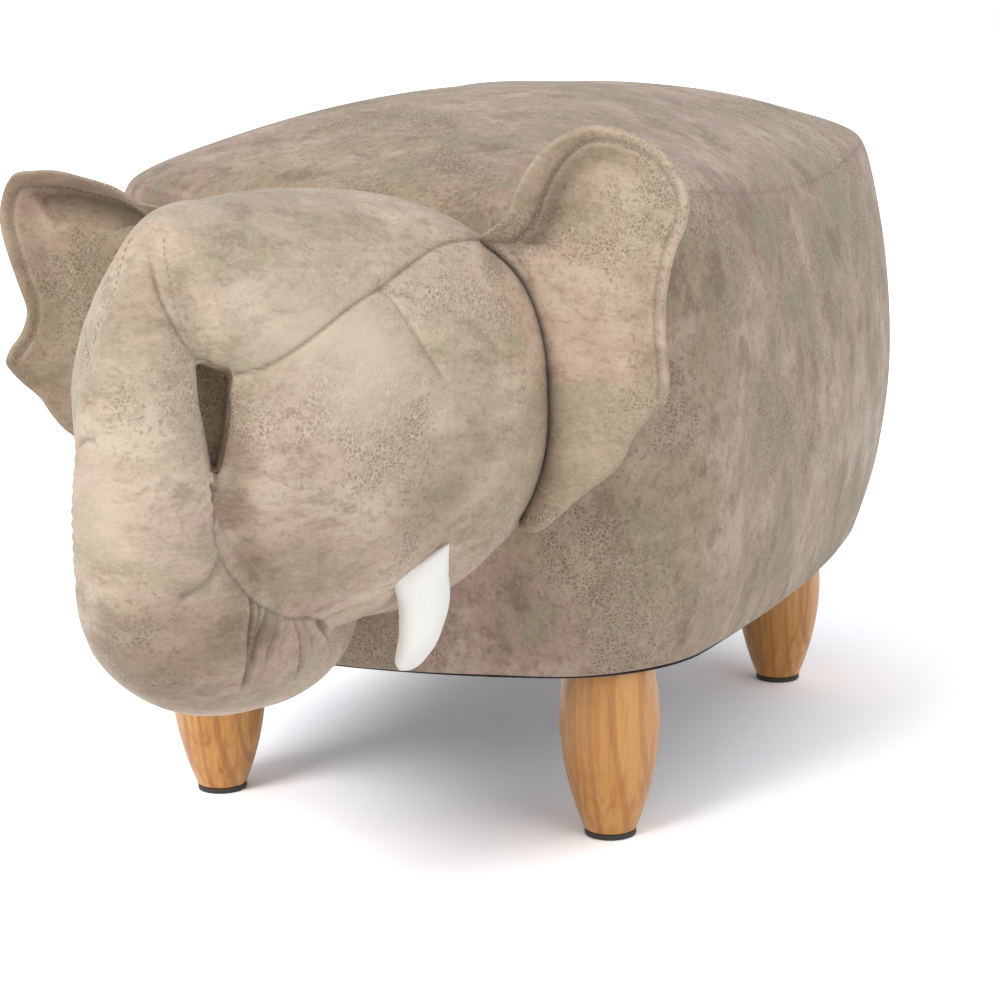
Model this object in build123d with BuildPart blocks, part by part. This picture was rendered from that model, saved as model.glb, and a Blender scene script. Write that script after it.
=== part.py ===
from build123d import *
from math import cos, radians, sin
import os

os.makedirs("parts", exist_ok=True)

# Upholstered footstool in the shape of an elephant, in millimetres.
# It faces -Y, its left side is +X, and it stands on Z = 0. The origin is on
# the floor, under the middle of the whole stool from trunk to tail.

# Overall sizes of the seat body
seat_height = 380.0
body_width = 377.0
body_length = 506.0
base_draw_in_x = 22.5
base_draw_in_y = 19.5
top_draw_in_x = 20.0
top_draw_in_y = 5.5
widest_height = 210.0
seam_height = 326.0
body_corner_share = 0.5
body_bow_share = 0.045
crown_power_share = 2.3
soft_bow_share = 0.2

# Covers, foam and wall
cover_thickness = 1.5
dust_cover_thickness = 0.8
turn_under_width = 20.0
base_foam_thickness = 4.0
wall_thickness = 3.0
dust_cover_margin = 3.0
overrun = 30.0

# Boards, posts and the rail that carries the head
base_board_thickness = 15.0
seat_board_thickness = 12.0
seat_board_depth = 36.0
post_width = 34.0
front_post_x = 70.0
front_post_inset_y = 60.5
rear_post_inset_x = 61.0
rear_post_inset_y = 61.5
rail_length = 184.0
rail_height = 96.0
rail_thickness = 40.0
rail_centre_height = 240.0
rail_screw_aside = 8.0

# Legs and glides
leg_height = 93.0
leg_inset_x = 51.5
front_leg_inset_y = 58.5
rear_leg_inset_y = 93.5
leg_foot_radius = 13.3
leg_shin_radius = 21.2
leg_shin_height = 26.3
leg_belly_radius = 26.1
leg_belly_height = 61.0
leg_neck_radius = 25.3
leg_neck_height = 77.0
leg_top_radius = 22.8
leg_edge_fillet = 1.5
glide_radius = 13.5
glide_thickness = 3.0
glide_fillet = 0.8
glide_recess_depth = 1.8
glide_recess_radius = 4.0

# Fasteners
hanger_bolt_diameter = 8.0
hanger_bolt_in_leg = 40.0
hanger_bolt_above_nut = 6.0
bolt_end_chamfer = 1.0
t_nut_barrel_diameter = 10.0
t_nut_flange_diameter = 22.0
t_nut_flange_thickness = 1.6
t_nut_barrel_length = 12.0
nail_diameter = 2.0
nail_head_diameter = 6.0
nail_head_thickness = 1.0
nail_length = 17.0
screw_diameter = 4.5
screw_head_diameter = 9.0
screw_head_height = 2.6
screw_length = 55.0
screw_tip_length = 5.0
staple_crown = 10.0
staple_wire = 0.7
staple_leg = 7.0
staple_inset = 17.0
staple_count_side = 6
staple_count_end = 4
wall_nail_diameter = 1.8
wall_nail_length = 16.0
wall_nail_head_diameter = 5.0
wall_nail_head_thickness = 0.8
wall_nail_sink = 1.2
wall_nail_count = 5

# Head
head_width = 222.0
head_top = 343.0
head_bottom = 126.0
head_reach = 170.0
head_knuckle_share = 0.3
head_plate_width = 130.0
head_plate_height = 112.0
head_plate_thickness = 12.0
head_plate_corner = 30.0
head_bolt_diameter = 8.0
head_bolt_spread = 36.0
head_bolt_rise = 30.0
head_bolt_head_width = 13.0
head_bolt_head_height = 5.5
head_bolt_end = 4.0
brow_tip_ahead = 174.0
brow_tip_height = 276.0
brow_middle_ahead = 96.0
brow_middle_height = 292.0
brow_rear_height = 318.0

# Trunk, swept as a fan of sections round a line across the head
trunk_reach = 97.0
trunk_width = 90.0
trunk_pivot_ahead = 119.5
trunk_pivot_height = 225.0
trunk_knuckle_share = 0.2

# Ears
ear_root_x = 70.0
ear_middle_x = 127.0
ear_rim_x = 184.0
ear_bottom_height = 176.0
ear_height = 191.0
ear_thickness = 8.0
ear_skin = 1.5
ear_root_ahead = 9.0
ear_middle_ahead = 2.0
ear_rim_ahead = 14.0

# Tusks
tusk_root_x = 72.0
tusk_root_ahead = 58.0
tusk_root_height = 176.0
tusk_bend_x = 74.0
tusk_bend_ahead = 66.0
tusk_bend_height = 147.0
tusk_tip_x = 62.0
tusk_tip_ahead = 84.0
tusk_tip_height = 116.0
tusk_root_radius = 13.0

# Tail
tail_root_height = 262.0
tail_tip_height = 160.0
tail_root_radius = 6.5
tail_tip_radius = 4.5
tail_bury = 1.0
tuft_radius = 8.5
tuft_length = 52.0

# Widths and lengths at the base and the top seam, and what follows the base
base_width = body_width - 2 * base_draw_in_x
base_length = body_length - 2 * base_draw_in_y
top_width = body_width - 2 * top_draw_in_x
top_length = body_length - 2 * top_draw_in_y
leg_x = base_width / 2 - leg_inset_x
front_leg_y = base_length / 2 - front_leg_inset_y
rear_leg_y = base_length / 2 - rear_leg_inset_y
front_post_y = base_length / 2 - front_post_inset_y
rear_post_x = base_width / 2 - rear_post_inset_x
rear_post_y = base_length / 2 - rear_post_inset_y

# Heights of the layers at the bottom, and the distances from the body's middle
board_bottom = leg_height + dust_cover_thickness
flange_top = board_bottom + cover_thickness
base_board_top = board_bottom + base_board_thickness
seat_board_top = seam_height - seat_board_depth + seat_board_thickness
seat_board_bottom = seat_board_top - seat_board_thickness
wall_inset = cover_thickness + base_foam_thickness
board_inset = wall_inset + wall_thickness
front_reach = body_length / 2 + trunk_pivot_ahead + trunk_reach
rear_reach = body_length / 2 + 2 * tuft_radius - tail_bury
body_y = (front_reach - rear_reach) / 2
body_front_y = body_y - body_length / 2


def body_size(height, low, widest, high):
    """Half size of the body at a height, swelling between base and top seam."""
    if height < widest_height:
        share = (widest_height - height) / (widest_height - board_bottom)
        return (widest - (widest - low) * share**2) / 2
    share = (height - widest_height) / (seam_height - widest_height)
    return (widest - (widest - high) * share**2) / 2


def soft_oval(plane, half_x, half_y, corner, bow_x, bow_y):
    """Oblong of four bowed sides and four round corners, tangent all round."""
    knuckle = Vector(half_x - corner - bow_x, half_y - corner - bow_y)
    radius_x = corner + (bow_x**2 + knuckle.Y**2) / (2 * bow_x)
    radius_y = corner + (bow_y**2 + knuckle.X**2) / (2 * bow_y)
    side = Vector(half_x - radius_x, 0)
    end = Vector(0, half_y - radius_y)
    toward_side = (knuckle - side).normalized()
    toward_end = (knuckle - end).normalized()
    a = side + toward_side * radius_x
    b = knuckle + (toward_side + toward_end).normalized() * corner
    c = end + toward_end * radius_y
    ring = [(a.X, -a.Y), (half_x, 0), (a.X, a.Y), (b.X, b.Y)]
    ring += [(c.X, c.Y), (0, half_y), (-c.X, c.Y), (-b.X, b.Y)]
    ring += [(-a.X, a.Y), (-half_x, 0), (-a.X, -a.Y), (-b.X, -b.Y)]
    ring += [(-c.X, -c.Y), (0, -half_y), (c.X, -c.Y), (b.X, -b.Y)]
    with BuildSketch(plane) as face:
        with BuildLine():
            for i in range(0, len(ring), 2):
                ThreePointArc(ring[i], ring[i + 1], ring[(i + 2) % len(ring)])
        make_face()
    return face.sketch


def round_oval(plane, half_x, half_y, knuckle_share):
    """Soft oval with its corner and bows worked out from its two half sizes."""
    small, large = min(half_x, half_y), max(half_x, half_y)
    bow_share = soft_bow_share
    small_knuckle = knuckle_share * small
    edge = small_knuckle * (1 + bow_share) + bow_share * (large - small) / (1 - bow_share)
    corner = small - edge
    large_knuckle = large - corner - bow_share * small_knuckle
    bows = (bow_share * large_knuckle, bow_share * small_knuckle)
    if half_x > half_y:
        bows = (bows[1], bows[0])
    return soft_oval(plane, half_x, half_y, corner, *bows)


def body_plane(height):
    return Plane(origin=(0, body_y, height), z_dir=(0, 0, 1))


def body_outline(plane, half_x, half_y, inset):
    """Outline of the body, drawn in by an inset that keeps it parallel."""
    corner = body_corner_share * half_x - inset
    bow_x = body_bow_share * half_x
    bow_y = body_bow_share * half_y
    return soft_oval(plane, half_x - inset, half_y - inset, corner, bow_x, bow_y)


def body_section(height, inset):
    half_x = body_size(height, base_width, body_width, top_width)
    half_y = body_size(height, base_length, body_length, top_length)
    return body_outline(body_plane(height), half_x, half_y, inset)


def band_form(low, inset):
    """The barrel between a low height and the top seam."""
    shares = (0, 0.2, 0.4, 0.6, 0.8, 1)
    heights = [low + share * (seam_height - low) for share in shares]
    with BuildPart() as form:
        loft(sections=[body_section(height, inset) for height in heights])
    return form.part


def crown_form(inset):
    """The crowned seat above the top seam, drawn in toward the middle."""
    plan_shares = (1, 0.96, 0.88, 0.76, 0.6, 0.42, 0.24, 0.1)
    rise = seat_height - seam_height - inset
    sections = []
    for share in plan_shares:
        height = seam_height + rise * (1 - share**crown_power_share)
        half_x = share * top_width / 2
        half_y = share * top_length / 2
        sections.append(body_outline(body_plane(height), half_x, half_y, inset))
    with BuildPart() as form:
        loft(sections=sections)
    return form.part


def prism(inset, low, high):
    """Straight-sided block with the outline of the body's base."""
    section = body_outline(body_plane(low), base_width / 2, base_length / 2, inset)
    with BuildPart() as form:
        add(section)
        extrude(amount=high - low)
    return form.part


def whole_body(inset):
    with BuildPart() as form:
        add(band_form(board_bottom, inset))
        add(crown_form(inset))
    return form.part


# Seat body: solids that the covers and foam are cut from
body_skin_form = whole_body(0)
body_fill_form = whole_body(cover_thickness)
body_clear_form = whole_body(-cover_thickness)
flange_hole = prism(turn_under_width, board_bottom, flange_top)
wall_block = prism(wall_inset, flange_top, seat_board_top)

leg_places = []
for side in (1, -1):
    leg_places.append((side * leg_x, body_y - front_leg_y))
    leg_places.append((side * leg_x, body_y + rear_leg_y))

post_places = []
for side in (1, -1):
    post_places.append((side * front_post_x, body_y - front_post_y))
    post_places.append((side * rear_post_x, body_y + rear_post_y))

# Bolts that hold the legs, seen as one group
with BuildPart() as hanger_bolts:
    low = leg_height - hanger_bolt_in_leg
    high = base_board_top + t_nut_flange_thickness + hanger_bolt_above_nut
    with BuildSketch(Plane.XY.offset(low)):
        with Locations(*leg_places):
            Circle(hanger_bolt_diameter / 2)
    extrude(amount=high - low)
    chamfer(hanger_bolts.faces().filter_by(Axis.Z).edges(), length=bolt_end_chamfer)
hanger_bolts.part.label = "hanger_bolts"

with BuildPart() as t_nuts:
    with BuildSketch(Plane.XY.offset(base_board_top)):
        with Locations(*leg_places):
            Circle(t_nut_flange_diameter / 2)
    extrude(amount=t_nut_flange_thickness)
    with BuildSketch(Plane.XY.offset(base_board_top)):
        with Locations(*leg_places):
            Circle(t_nut_barrel_diameter / 2)
    extrude(amount=-t_nut_barrel_length)
    add(hanger_bolts.part, mode=Mode.SUBTRACT)
t_nuts.part.label = "t_nuts"


def screw_group(planes):
    """Countersunk screws, each with its head flush in the plane it starts from."""
    with BuildPart() as group:
        for plane in planes:
            with BuildSketch(Plane(plane.origin, plane.x_dir, plane.x_dir.cross(plane.z_dir))):
                with BuildLine():
                    Polyline(
                        (0, 0),
                        (screw_head_diameter / 2, 0),
                        (screw_diameter / 2, screw_head_height),
                        (screw_diameter / 2, screw_length - screw_tip_length),
                        (0, screw_length),
                        close=True,
                    )
                make_face()
            revolve(axis=Axis(plane.origin, plane.z_dir))
    return group.part


base_screw_planes = [Plane(origin=(x, y, board_bottom), z_dir=(0, 0, 1)) for x, y in post_places]
seat_screw_planes = [Plane(origin=(x, y, seat_board_top), z_dir=(0, 0, -1)) for x, y in post_places]
rail_screw_planes = []
for side in (1, -1):
    for level in (1, -1):
        rail_screw_planes.append(
            Plane(
                origin=(
                    side * (front_post_x + rail_screw_aside),
                    body_y - front_post_y + post_width / 2,
                    rail_centre_height + level * rail_height / 3,
                ),
                z_dir=(0, -1, 0),
            )
        )

with BuildPart() as base_screws:
    add(screw_group(base_screw_planes))
base_screws.part.label = "base_screws"

with BuildPart() as seat_screws:
    add(screw_group(seat_screw_planes))
seat_screws.part.label = "seat_screws"

with BuildPart() as rail_screws:
    add(screw_group(rail_screw_planes))
rail_screws.part.label = "rail_screws"

# Bolts of the head, from the back of the rail into the plate inside the head
rail_back_y = body_y - front_post_y - post_width / 2
head_plate_front_y = body_front_y - cover_thickness - head_plate_thickness
head_bolt_places = [(0, rail_centre_height + head_bolt_rise)]
head_bolt_places += [(side * head_bolt_spread, rail_centre_height - head_bolt_rise) for side in (1, -1)]

with BuildPart() as head_bolts:
    shank = rail_back_y - head_plate_front_y + head_bolt_end
    for x, z in head_bolt_places:
        with BuildSketch(Plane(origin=(x, rail_back_y, z), z_dir=(0, -1, 0))):
            Circle(head_bolt_diameter / 2)
        extrude(amount=shank)
        with BuildSketch(Plane(origin=(x, rail_back_y, z), z_dir=(0, 1, 0))):
            RegularPolygon(head_bolt_head_width / 2, 6, major_radius=False)
        extrude(amount=head_bolt_head_height)
head_bolts.part.label = "head_bolts"

with BuildPart() as head_nuts:
    for x, z in head_bolt_places:
        with BuildSketch(Plane(origin=(x, head_plate_front_y, z), z_dir=(0, -1, 0))):
            Circle(t_nut_flange_diameter / 2)
        extrude(amount=t_nut_flange_thickness)
        with BuildSketch(Plane(origin=(x, head_plate_front_y, z), z_dir=(0, 1, 0))):
            Circle(t_nut_barrel_diameter / 2)
        extrude(amount=head_plate_thickness / 2)
    add(head_bolts.part, mode=Mode.SUBTRACT)
head_nuts.part.label = "head_nuts"

# Staples of the bottom cover, spaced along the four sides of the base
staple_planes = []
for side in (1, -1):
    for i in range(staple_count_side):
        share = (i + 0.5) / staple_count_side - 0.5
        along = share * (base_length - 2 * body_corner_share * base_width / 2)
        staple_planes.append(((side * (base_width / 2 - staple_inset), body_y + along), 90))
    for i in range(staple_count_end):
        share = (i + 0.5) / staple_count_end - 0.5
        along = share * (1 - body_corner_share) * base_width
        staple_planes.append(((along, body_y + side * (base_length / 2 - staple_inset)), 0))


def staple_solids(height):
    """Staples driven up into the board, crown under the given height."""
    with BuildPart() as group:
        for place, turn in staple_planes:
            with Locations(Location((place[0], place[1], height), (0, 0, turn))):
                crown = (staple_crown, staple_wire, staple_wire)
                Box(*crown, align=(Align.CENTER, Align.CENTER, Align.MAX))
                with Locations((staple_crown / 2, 0, 0), (-staple_crown / 2, 0, 0)):
                    leg = (staple_wire, staple_wire, staple_leg + staple_wire)
                    Box(*leg, align=(Align.CENTER, Align.CENTER, Align.MIN))
                    Box(staple_wire, staple_wire, staple_wire, align=(Align.CENTER, Align.CENTER, Align.MAX))
    return group.part


with BuildPart() as bottom_staples:
    add(staple_solids(leg_height))
bottom_staples.part.label = "bottom_staples"

# Nails that hold the bent wall to the edges of both boards, sunk along its bow
straight_length = base_length - body_corner_share * base_width
with BuildPart() as wall_nails:
    for side in (1, -1):
        for level in (board_bottom + base_board_thickness / 2, seat_board_top - seat_board_thickness / 2):
            for i in range(wall_nail_count):
                share = (i + 0.5) / wall_nail_count - 0.5
                along = share * straight_length
                bow_drop = body_bow_share * base_width / 2 * (2 * share)**2
                start_x = side * (base_width / 2 - wall_inset - wall_nail_sink - bow_drop)
                with BuildSketch(Plane(origin=(start_x, body_y + along, level), z_dir=(-side, 0, 0))):
                    Circle(wall_nail_head_diameter / 2)
                extrude(amount=wall_nail_head_thickness)
                with BuildSketch(Plane(origin=(start_x, body_y + along, level), z_dir=(-side, 0, 0))):
                    Circle(wall_nail_diameter / 2)
                extrude(amount=wall_nail_length)
wall_nails.part.label = "wall_nails"

# Wooden frame
with BuildPart() as base_board:
    add(prism(board_inset, board_bottom, base_board_top))
    add(prism(board_inset - overrun, board_bottom, flange_top), mode=Mode.SUBTRACT)
    add(prism(turn_under_width, board_bottom, flange_top))
    add(t_nuts.part, mode=Mode.SUBTRACT)
    add(hanger_bolts.part, mode=Mode.SUBTRACT)
    add(base_screws.part, mode=Mode.SUBTRACT)
    add(bottom_staples.part, mode=Mode.SUBTRACT)
    add(wall_nails.part, mode=Mode.SUBTRACT)
base_board.part.label = "base_board"

with BuildPart() as seat_board:
    add(prism(board_inset, seat_board_bottom, seat_board_top))
    add(seat_screws.part, mode=Mode.SUBTRACT)
    add(wall_nails.part, mode=Mode.SUBTRACT)
seat_board.part.label = "seat_board"

posts = {}
for name, (x, y) in zip(("front_left", "rear_left", "front_right", "rear_right"), post_places):
    with BuildPart() as post:
        with BuildSketch(Plane.XY.offset(base_board_top)):
            with Locations((x, y)):
                Rectangle(post_width, post_width)
        extrude(amount=seat_board_bottom - base_board_top)
        add(base_screws.part, mode=Mode.SUBTRACT)
        add(seat_screws.part, mode=Mode.SUBTRACT)
        add(rail_screws.part, mode=Mode.SUBTRACT)
    post.part.label = name + "_post"
    posts[name] = post.part

with BuildPart() as front_rail:
    with BuildSketch(Plane.XY.offset(rail_centre_height - rail_height / 2)):
        with Locations((0, rail_back_y)):
            Rectangle(rail_length, rail_thickness, align=(Align.CENTER, Align.MAX))
    extrude(amount=rail_height)
    add(prism(board_inset, flange_top, seat_board_top), mode=Mode.INTERSECT)
    add(rail_screws.part, mode=Mode.SUBTRACT)
    add(head_bolts.part, mode=Mode.SUBTRACT)
front_rail.part.label = "front_rail"

with BuildPart() as side_wall:
    add(wall_block)
    add(prism(board_inset, flange_top, seat_board_top), mode=Mode.SUBTRACT)
    add(head_bolts.part, mode=Mode.SUBTRACT)
    add(wall_nails.part, mode=Mode.SUBTRACT)
side_wall.part.label = "side_wall"

# Foam and covers of the seat body
with BuildPart() as side_foam:
    add(body_fill_form)
    with BuildSketch(Plane.XY.offset(seat_board_top)):
        with Locations((0, body_y)):
            Rectangle(2 * body_width, 2 * body_length)
    extrude(amount=seat_height, mode=Mode.SUBTRACT)
    with BuildSketch(Plane.XY.offset(flange_top)):
        with Locations((0, body_y)):
            Rectangle(2 * body_width, 2 * body_length)
    extrude(amount=-overrun, mode=Mode.SUBTRACT)
    add(wall_block, mode=Mode.SUBTRACT)
    add(head_bolts.part, mode=Mode.SUBTRACT)
side_foam.part.label = "side_foam"

with BuildPart() as seat_foam:
    add(body_fill_form)
    with BuildSketch(Plane.XY.offset(seat_board_top)):
        with Locations((0, body_y)):
            Rectangle(2 * body_width, 2 * body_length)
    extrude(amount=-seat_height, mode=Mode.SUBTRACT)
seat_foam.part.label = "seat_foam"

with BuildPart() as side_cover:
    add(band_form(board_bottom, 0))
    add(band_form(board_bottom, cover_thickness), mode=Mode.SUBTRACT)
    add(prism(cover_thickness / 2, board_bottom, flange_top))
    add(flange_hole, mode=Mode.SUBTRACT)
    add(head_bolts.part, mode=Mode.SUBTRACT)
    add(bottom_staples.part, mode=Mode.SUBTRACT)
side_cover.part.label = "side_cover"

with BuildPart() as seat_cover:
    add(crown_form(0))
    add(crown_form(cover_thickness), mode=Mode.SUBTRACT)
seat_cover.part.label = "seat_cover"

with BuildPart() as dust_cover:
    add(prism(dust_cover_margin, leg_height, board_bottom))
    add(hanger_bolts.part, mode=Mode.SUBTRACT)
    add(bottom_staples.part, mode=Mode.SUBTRACT)
dust_cover.part.label = "dust_cover"

# Nails of the glides, seen as one group
with BuildPart() as glide_nails:
    head_low = glide_recess_depth - nail_head_thickness
    with BuildSketch(Plane.XY.offset(head_low)):
        with Locations(*leg_places):
            Circle(nail_head_diameter / 2)
    extrude(amount=nail_head_thickness)
    with BuildSketch(Plane.XY.offset(glide_recess_depth)):
        with Locations(*leg_places):
            Circle(nail_diameter / 2)
    extrude(amount=nail_length)
glide_nails.part.label = "glide_nails"

# Legs and glides, one of each at every corner
legs = {}
glides = {}
for name, (x, y) in zip(("front_left", "rear_left", "front_right", "rear_right"), leg_places):
    with BuildPart() as leg:
        with BuildSketch(Plane(origin=(x, y, 0), x_dir=(1, 0, 0), z_dir=(0, -1, 0))):
            with BuildLine():
                Line((0, glide_thickness), (leg_foot_radius, glide_thickness))
                ThreePointArc(
                    (leg_foot_radius, glide_thickness),
                    (leg_shin_radius, leg_shin_height),
                    (leg_belly_radius, leg_belly_height),
                )
                ThreePointArc(
                    (leg_belly_radius, leg_belly_height),
                    (leg_neck_radius, leg_neck_height),
                    (leg_top_radius, leg_height),
                )
                Line((leg_top_radius, leg_height), (0, leg_height))
                Line((0, leg_height), (0, glide_thickness))
            make_face()
        revolve(axis=Axis((x, y, 0), (0, 0, 1)))
        fillet(leg.faces().filter_by(Axis.Z).edges(), radius=leg_edge_fillet)
        add(hanger_bolts.part, mode=Mode.SUBTRACT)
        add(glide_nails.part, mode=Mode.SUBTRACT)
    leg.part.label = name + "_leg"
    legs[name] = leg.part

    with BuildPart() as glide:
        with BuildSketch(Plane.XY):
            with Locations((x, y)):
                Circle(glide_radius)
        extrude(amount=glide_thickness)
        fillet(glide.edges().sort_by(Axis.Z)[0], radius=glide_fillet)
        with BuildSketch(Plane.XY):
            with Locations((x, y)):
                Circle(glide_recess_radius)
        extrude(amount=glide_recess_depth, mode=Mode.SUBTRACT)
        add(glide_nails.part, mode=Mode.SUBTRACT)
    glide.part.label = name + "_glide"
    glides[name] = glide.part


def head_form(inset):
    """Stuffed head: wide at the back, wedge-shaped toward the trunk."""
    section_shares = (
        (-0.11, 0.92, 0.94, 0.055),
        (0.115, 1.0, 0.99, 0.0),
        (0.35, 0.965, 1.0, 0.03),
        (0.585, 0.855, 1.0, 0.065),
        (0.79, 0.67, 0.99, 0.12),
        (0.91, 0.505, 0.968, 0.21),
        (1.0, 0.34, 0.9, 0.34),
    )
    rise = head_top - head_bottom
    sections = []
    for reach_share, width_share, top_share, bottom_share in section_shares:
        y = body_front_y - reach_share * (head_reach - inset)
        top = head_bottom + top_share * rise - inset
        bottom = head_bottom + bottom_share * rise + inset
        half_x = width_share * head_width / 2 - inset
        half_z = (top - bottom) / 2
        plane = Plane(origin=(0, y, (top + bottom) / 2), x_dir=(1, 0, 0), z_dir=(0, -1, 0))
        sections.append(round_oval(plane, half_x, half_z, head_knuckle_share))
    with BuildPart() as form:
        loft(sections=sections)
    return form.part


def trunk_form(inset):
    """Trunk that runs down the front and curls back under to the chin."""
    fan_shares = (
        (67, 1.135, 0.5, 0.34),
        (57, 1.12, 0.47, 0.47),
        (45, 1.105, 0.44, 0.58),
        (29, 1.105, 0.42, 0.64),
        (9, 1.006, 0.4, 0.65),
        (-12, 1.016, 0.38, 0.69),
        (-27, 1.065, 0.36, 0.8),
        (-42, 1.14, 0.34, 0.92),
        (-60, 1.2, 0.34, 0.99),
        (-85, 1.22, 0.36, 1.0),
        (-104, 1.315, 0.4, 0.97),
        (-121, 1.53, 0.46, 0.88),
        (-133, 1.72, 0.5, 0.78),
    )
    sections = []
    for angle, outer_share, inner_share, width_share in fan_shares:
        outward = Vector(0, -cos(radians(angle)), sin(radians(angle)))
        outer = outer_share * trunk_reach - inset
        inner = inner_share * trunk_reach + inset
        half_x = width_share * trunk_width / 2 - inset
        half_r = (outer - inner) / 2
        pivot = Vector(0, body_front_y - trunk_pivot_ahead, trunk_pivot_height)
        centre = pivot + outward * (outer + inner) / 2
        plane = Plane(origin=centre, x_dir=(1, 0, 0), z_dir=(0, -outward.Z, outward.Y))
        sections.append(round_oval(plane, half_x, half_r, trunk_knuckle_share))
    with BuildPart() as form:
        loft(sections=sections)
    return form.part


head_skin_form = head_form(0)
head_fill_form = head_form(cover_thickness)
trunk_skin_form = trunk_form(0)
trunk_fill_form = trunk_form(cover_thickness)

# Head: a plate against the body, stuffing round it, and the sewn panels
with BuildPart() as head_plate:
    plate_origin = (0, body_front_y, rail_centre_height)
    with BuildSketch(Plane(origin=plate_origin, x_dir=(1, 0, 0), z_dir=(0, -1, 0))):
        RectangleRounded(head_plate_width, head_plate_height, head_plate_corner)
    extrude(amount=cover_thickness + head_plate_thickness)
    with BuildSketch(Plane(origin=plate_origin, x_dir=(1, 0, 0), z_dir=(0, -1, 0))):
        RectangleRounded(head_plate_width, head_plate_height, head_plate_corner)
    extrude(amount=-overrun)
    add(body_clear_form, mode=Mode.SUBTRACT)
    add(head_bolts.part, mode=Mode.SUBTRACT)
    add(head_nuts.part, mode=Mode.SUBTRACT)
head_plate.part.label = "head_plate"

with BuildPart() as head_stuffing:
    add(head_fill_form)
    add(body_clear_form, mode=Mode.SUBTRACT)
    add(head_plate.part, mode=Mode.SUBTRACT)
    add(head_bolts.part, mode=Mode.SUBTRACT)
    add(head_nuts.part, mode=Mode.SUBTRACT)
head_stuffing.part.label = "head_stuffing"

with BuildPart() as head_back_panel:
    add(head_skin_form)
    add(body_clear_form, mode=Mode.INTERSECT)
    add(body_skin_form, mode=Mode.SUBTRACT)
    add(head_bolts.part, mode=Mode.SUBTRACT)
head_back_panel.part.label = "head_back_panel"

with BuildPart() as head_skin:
    add(head_skin_form)
    add(head_fill_form, mode=Mode.SUBTRACT)
    add(body_clear_form, mode=Mode.SUBTRACT)

# Everything above the brow seam, seen from the side
with BuildPart() as brow_block:
    with BuildSketch(Plane.YZ):
        rear = (body_front_y + overrun, brow_rear_height)
        tip = (body_front_y - brow_tip_ahead, brow_tip_height)
        with BuildLine():
            ThreePointArc(rear, (body_front_y - brow_middle_ahead, brow_middle_height), tip)
            Polyline(tip, (tip[0], head_top + overrun), (rear[0], head_top + overrun), rear)
        make_face()
    extrude(amount=head_width, both=True)

with BuildPart() as forehead_panel:
    add(head_skin.part)
    add(brow_block.part, mode=Mode.INTERSECT)
forehead_panel.part.label = "forehead_panel"

cheeks = {}
for name, keep in (("left", Keep.TOP), ("right", Keep.BOTTOM)):
    with BuildPart() as cheek:
        add(head_skin.part)
        add(brow_block.part, mode=Mode.SUBTRACT)
        split(bisect_by=Plane.YZ, keep=keep)
    cheek.part.label = name + "_cheek_panel"
    cheeks[name] = cheek.part

with BuildPart() as trunk_stuffing:
    add(trunk_fill_form)
    add(head_skin_form, mode=Mode.SUBTRACT)
    add(body_skin_form, mode=Mode.SUBTRACT)
trunk_stuffing.part.label = "trunk_stuffing"

with BuildPart() as trunk_cover:
    add(trunk_skin_form)
    add(trunk_fill_form, mode=Mode.SUBTRACT)
    add(head_skin_form, mode=Mode.SUBTRACT)
    add(body_skin_form, mode=Mode.SUBTRACT)
trunk_cover.part.label = "trunk_cover"


def ear_outline(inset):
    """Ear seen from the front, as a prism: a round lobe, a waist and a low corner."""
    outline_shares = {
        "root_top": (0.1, 0.735),
        "neck": (0.31, 0.80),
        "shoulder": (0.39, 0.92),
        "crest": (0.6, 1.0),
        "lobe": (0.89, 0.935),
        "brim": (1.0, 0.8),
        "flank": (0.965, 0.62),
        "waist": (0.925, 0.5),
        "corner": (0.985, 0.36),
        "chin": (0.72, 0.17),
        "root_low": (0.25, 0.0),
    }
    span = ear_rim_x - ear_root_x
    point = {
        key: (ear_root_x + x_share * span, ear_bottom_height + z_share * ear_height)
        for key, (x_share, z_share) in outline_shares.items()
    }
    inner = (0, point["root_low"][1])
    upper = (0, point["root_top"][1])
    with BuildPart() as form:
        with BuildSketch(Plane(origin=(0, body_front_y, 0), x_dir=(1, 0, 0), z_dir=(0, -1, 0))):
            with BuildLine():
                Line(upper, point["root_top"])
                ThreePointArc(point["root_top"], point["neck"], point["shoulder"])
                ThreePointArc(point["shoulder"], point["crest"], point["lobe"])
                ThreePointArc(point["lobe"], point["brim"], point["flank"])
                ThreePointArc(point["flank"], point["waist"], point["corner"])
                ThreePointArc(point["corner"], point["chin"], point["root_low"])
                Polyline(point["root_low"], inner, upper)
            make_face()
            if inset:
                offset(amount=-inset)
        extrude(amount=2 * overrun, both=True)
    return form.part


def ear_sheet(front_inset, back_inset):
    """Curved sheet that the ear is cut from, cupped forward at the rim."""
    reach = {}
    for key, ahead in (("front", ear_thickness / 2 - front_inset), ("back", back_inset - ear_thickness / 2)):
        y = body_front_y - ahead
        reach[key] = [
            (0, y - ear_root_ahead),
            (ear_middle_x, y - ear_middle_ahead),
            (ear_rim_x + overrun, y - ear_rim_ahead),
        ]
    with BuildPart() as form:
        with BuildSketch(Plane.XY.offset(ear_bottom_height - overrun)):
            with BuildLine():
                ThreePointArc(*reach["front"])
                Line(reach["front"][2], reach["back"][2])
                ThreePointArc(*reach["back"])
                Line(reach["back"][0], reach["front"][0])
            make_face()
        extrude(amount=ear_height + 2 * overrun)
    return form.part


# Left ear: a pad between two skins that meet round the rim
with BuildPart() as left_ear_pad:
    add(ear_sheet(ear_skin, ear_skin))
    add(ear_outline(ear_skin), mode=Mode.INTERSECT)
    add(head_skin_form, mode=Mode.SUBTRACT)
    add(body_skin_form, mode=Mode.SUBTRACT)
left_ear_pad.part.label = "left_ear_pad"

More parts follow.
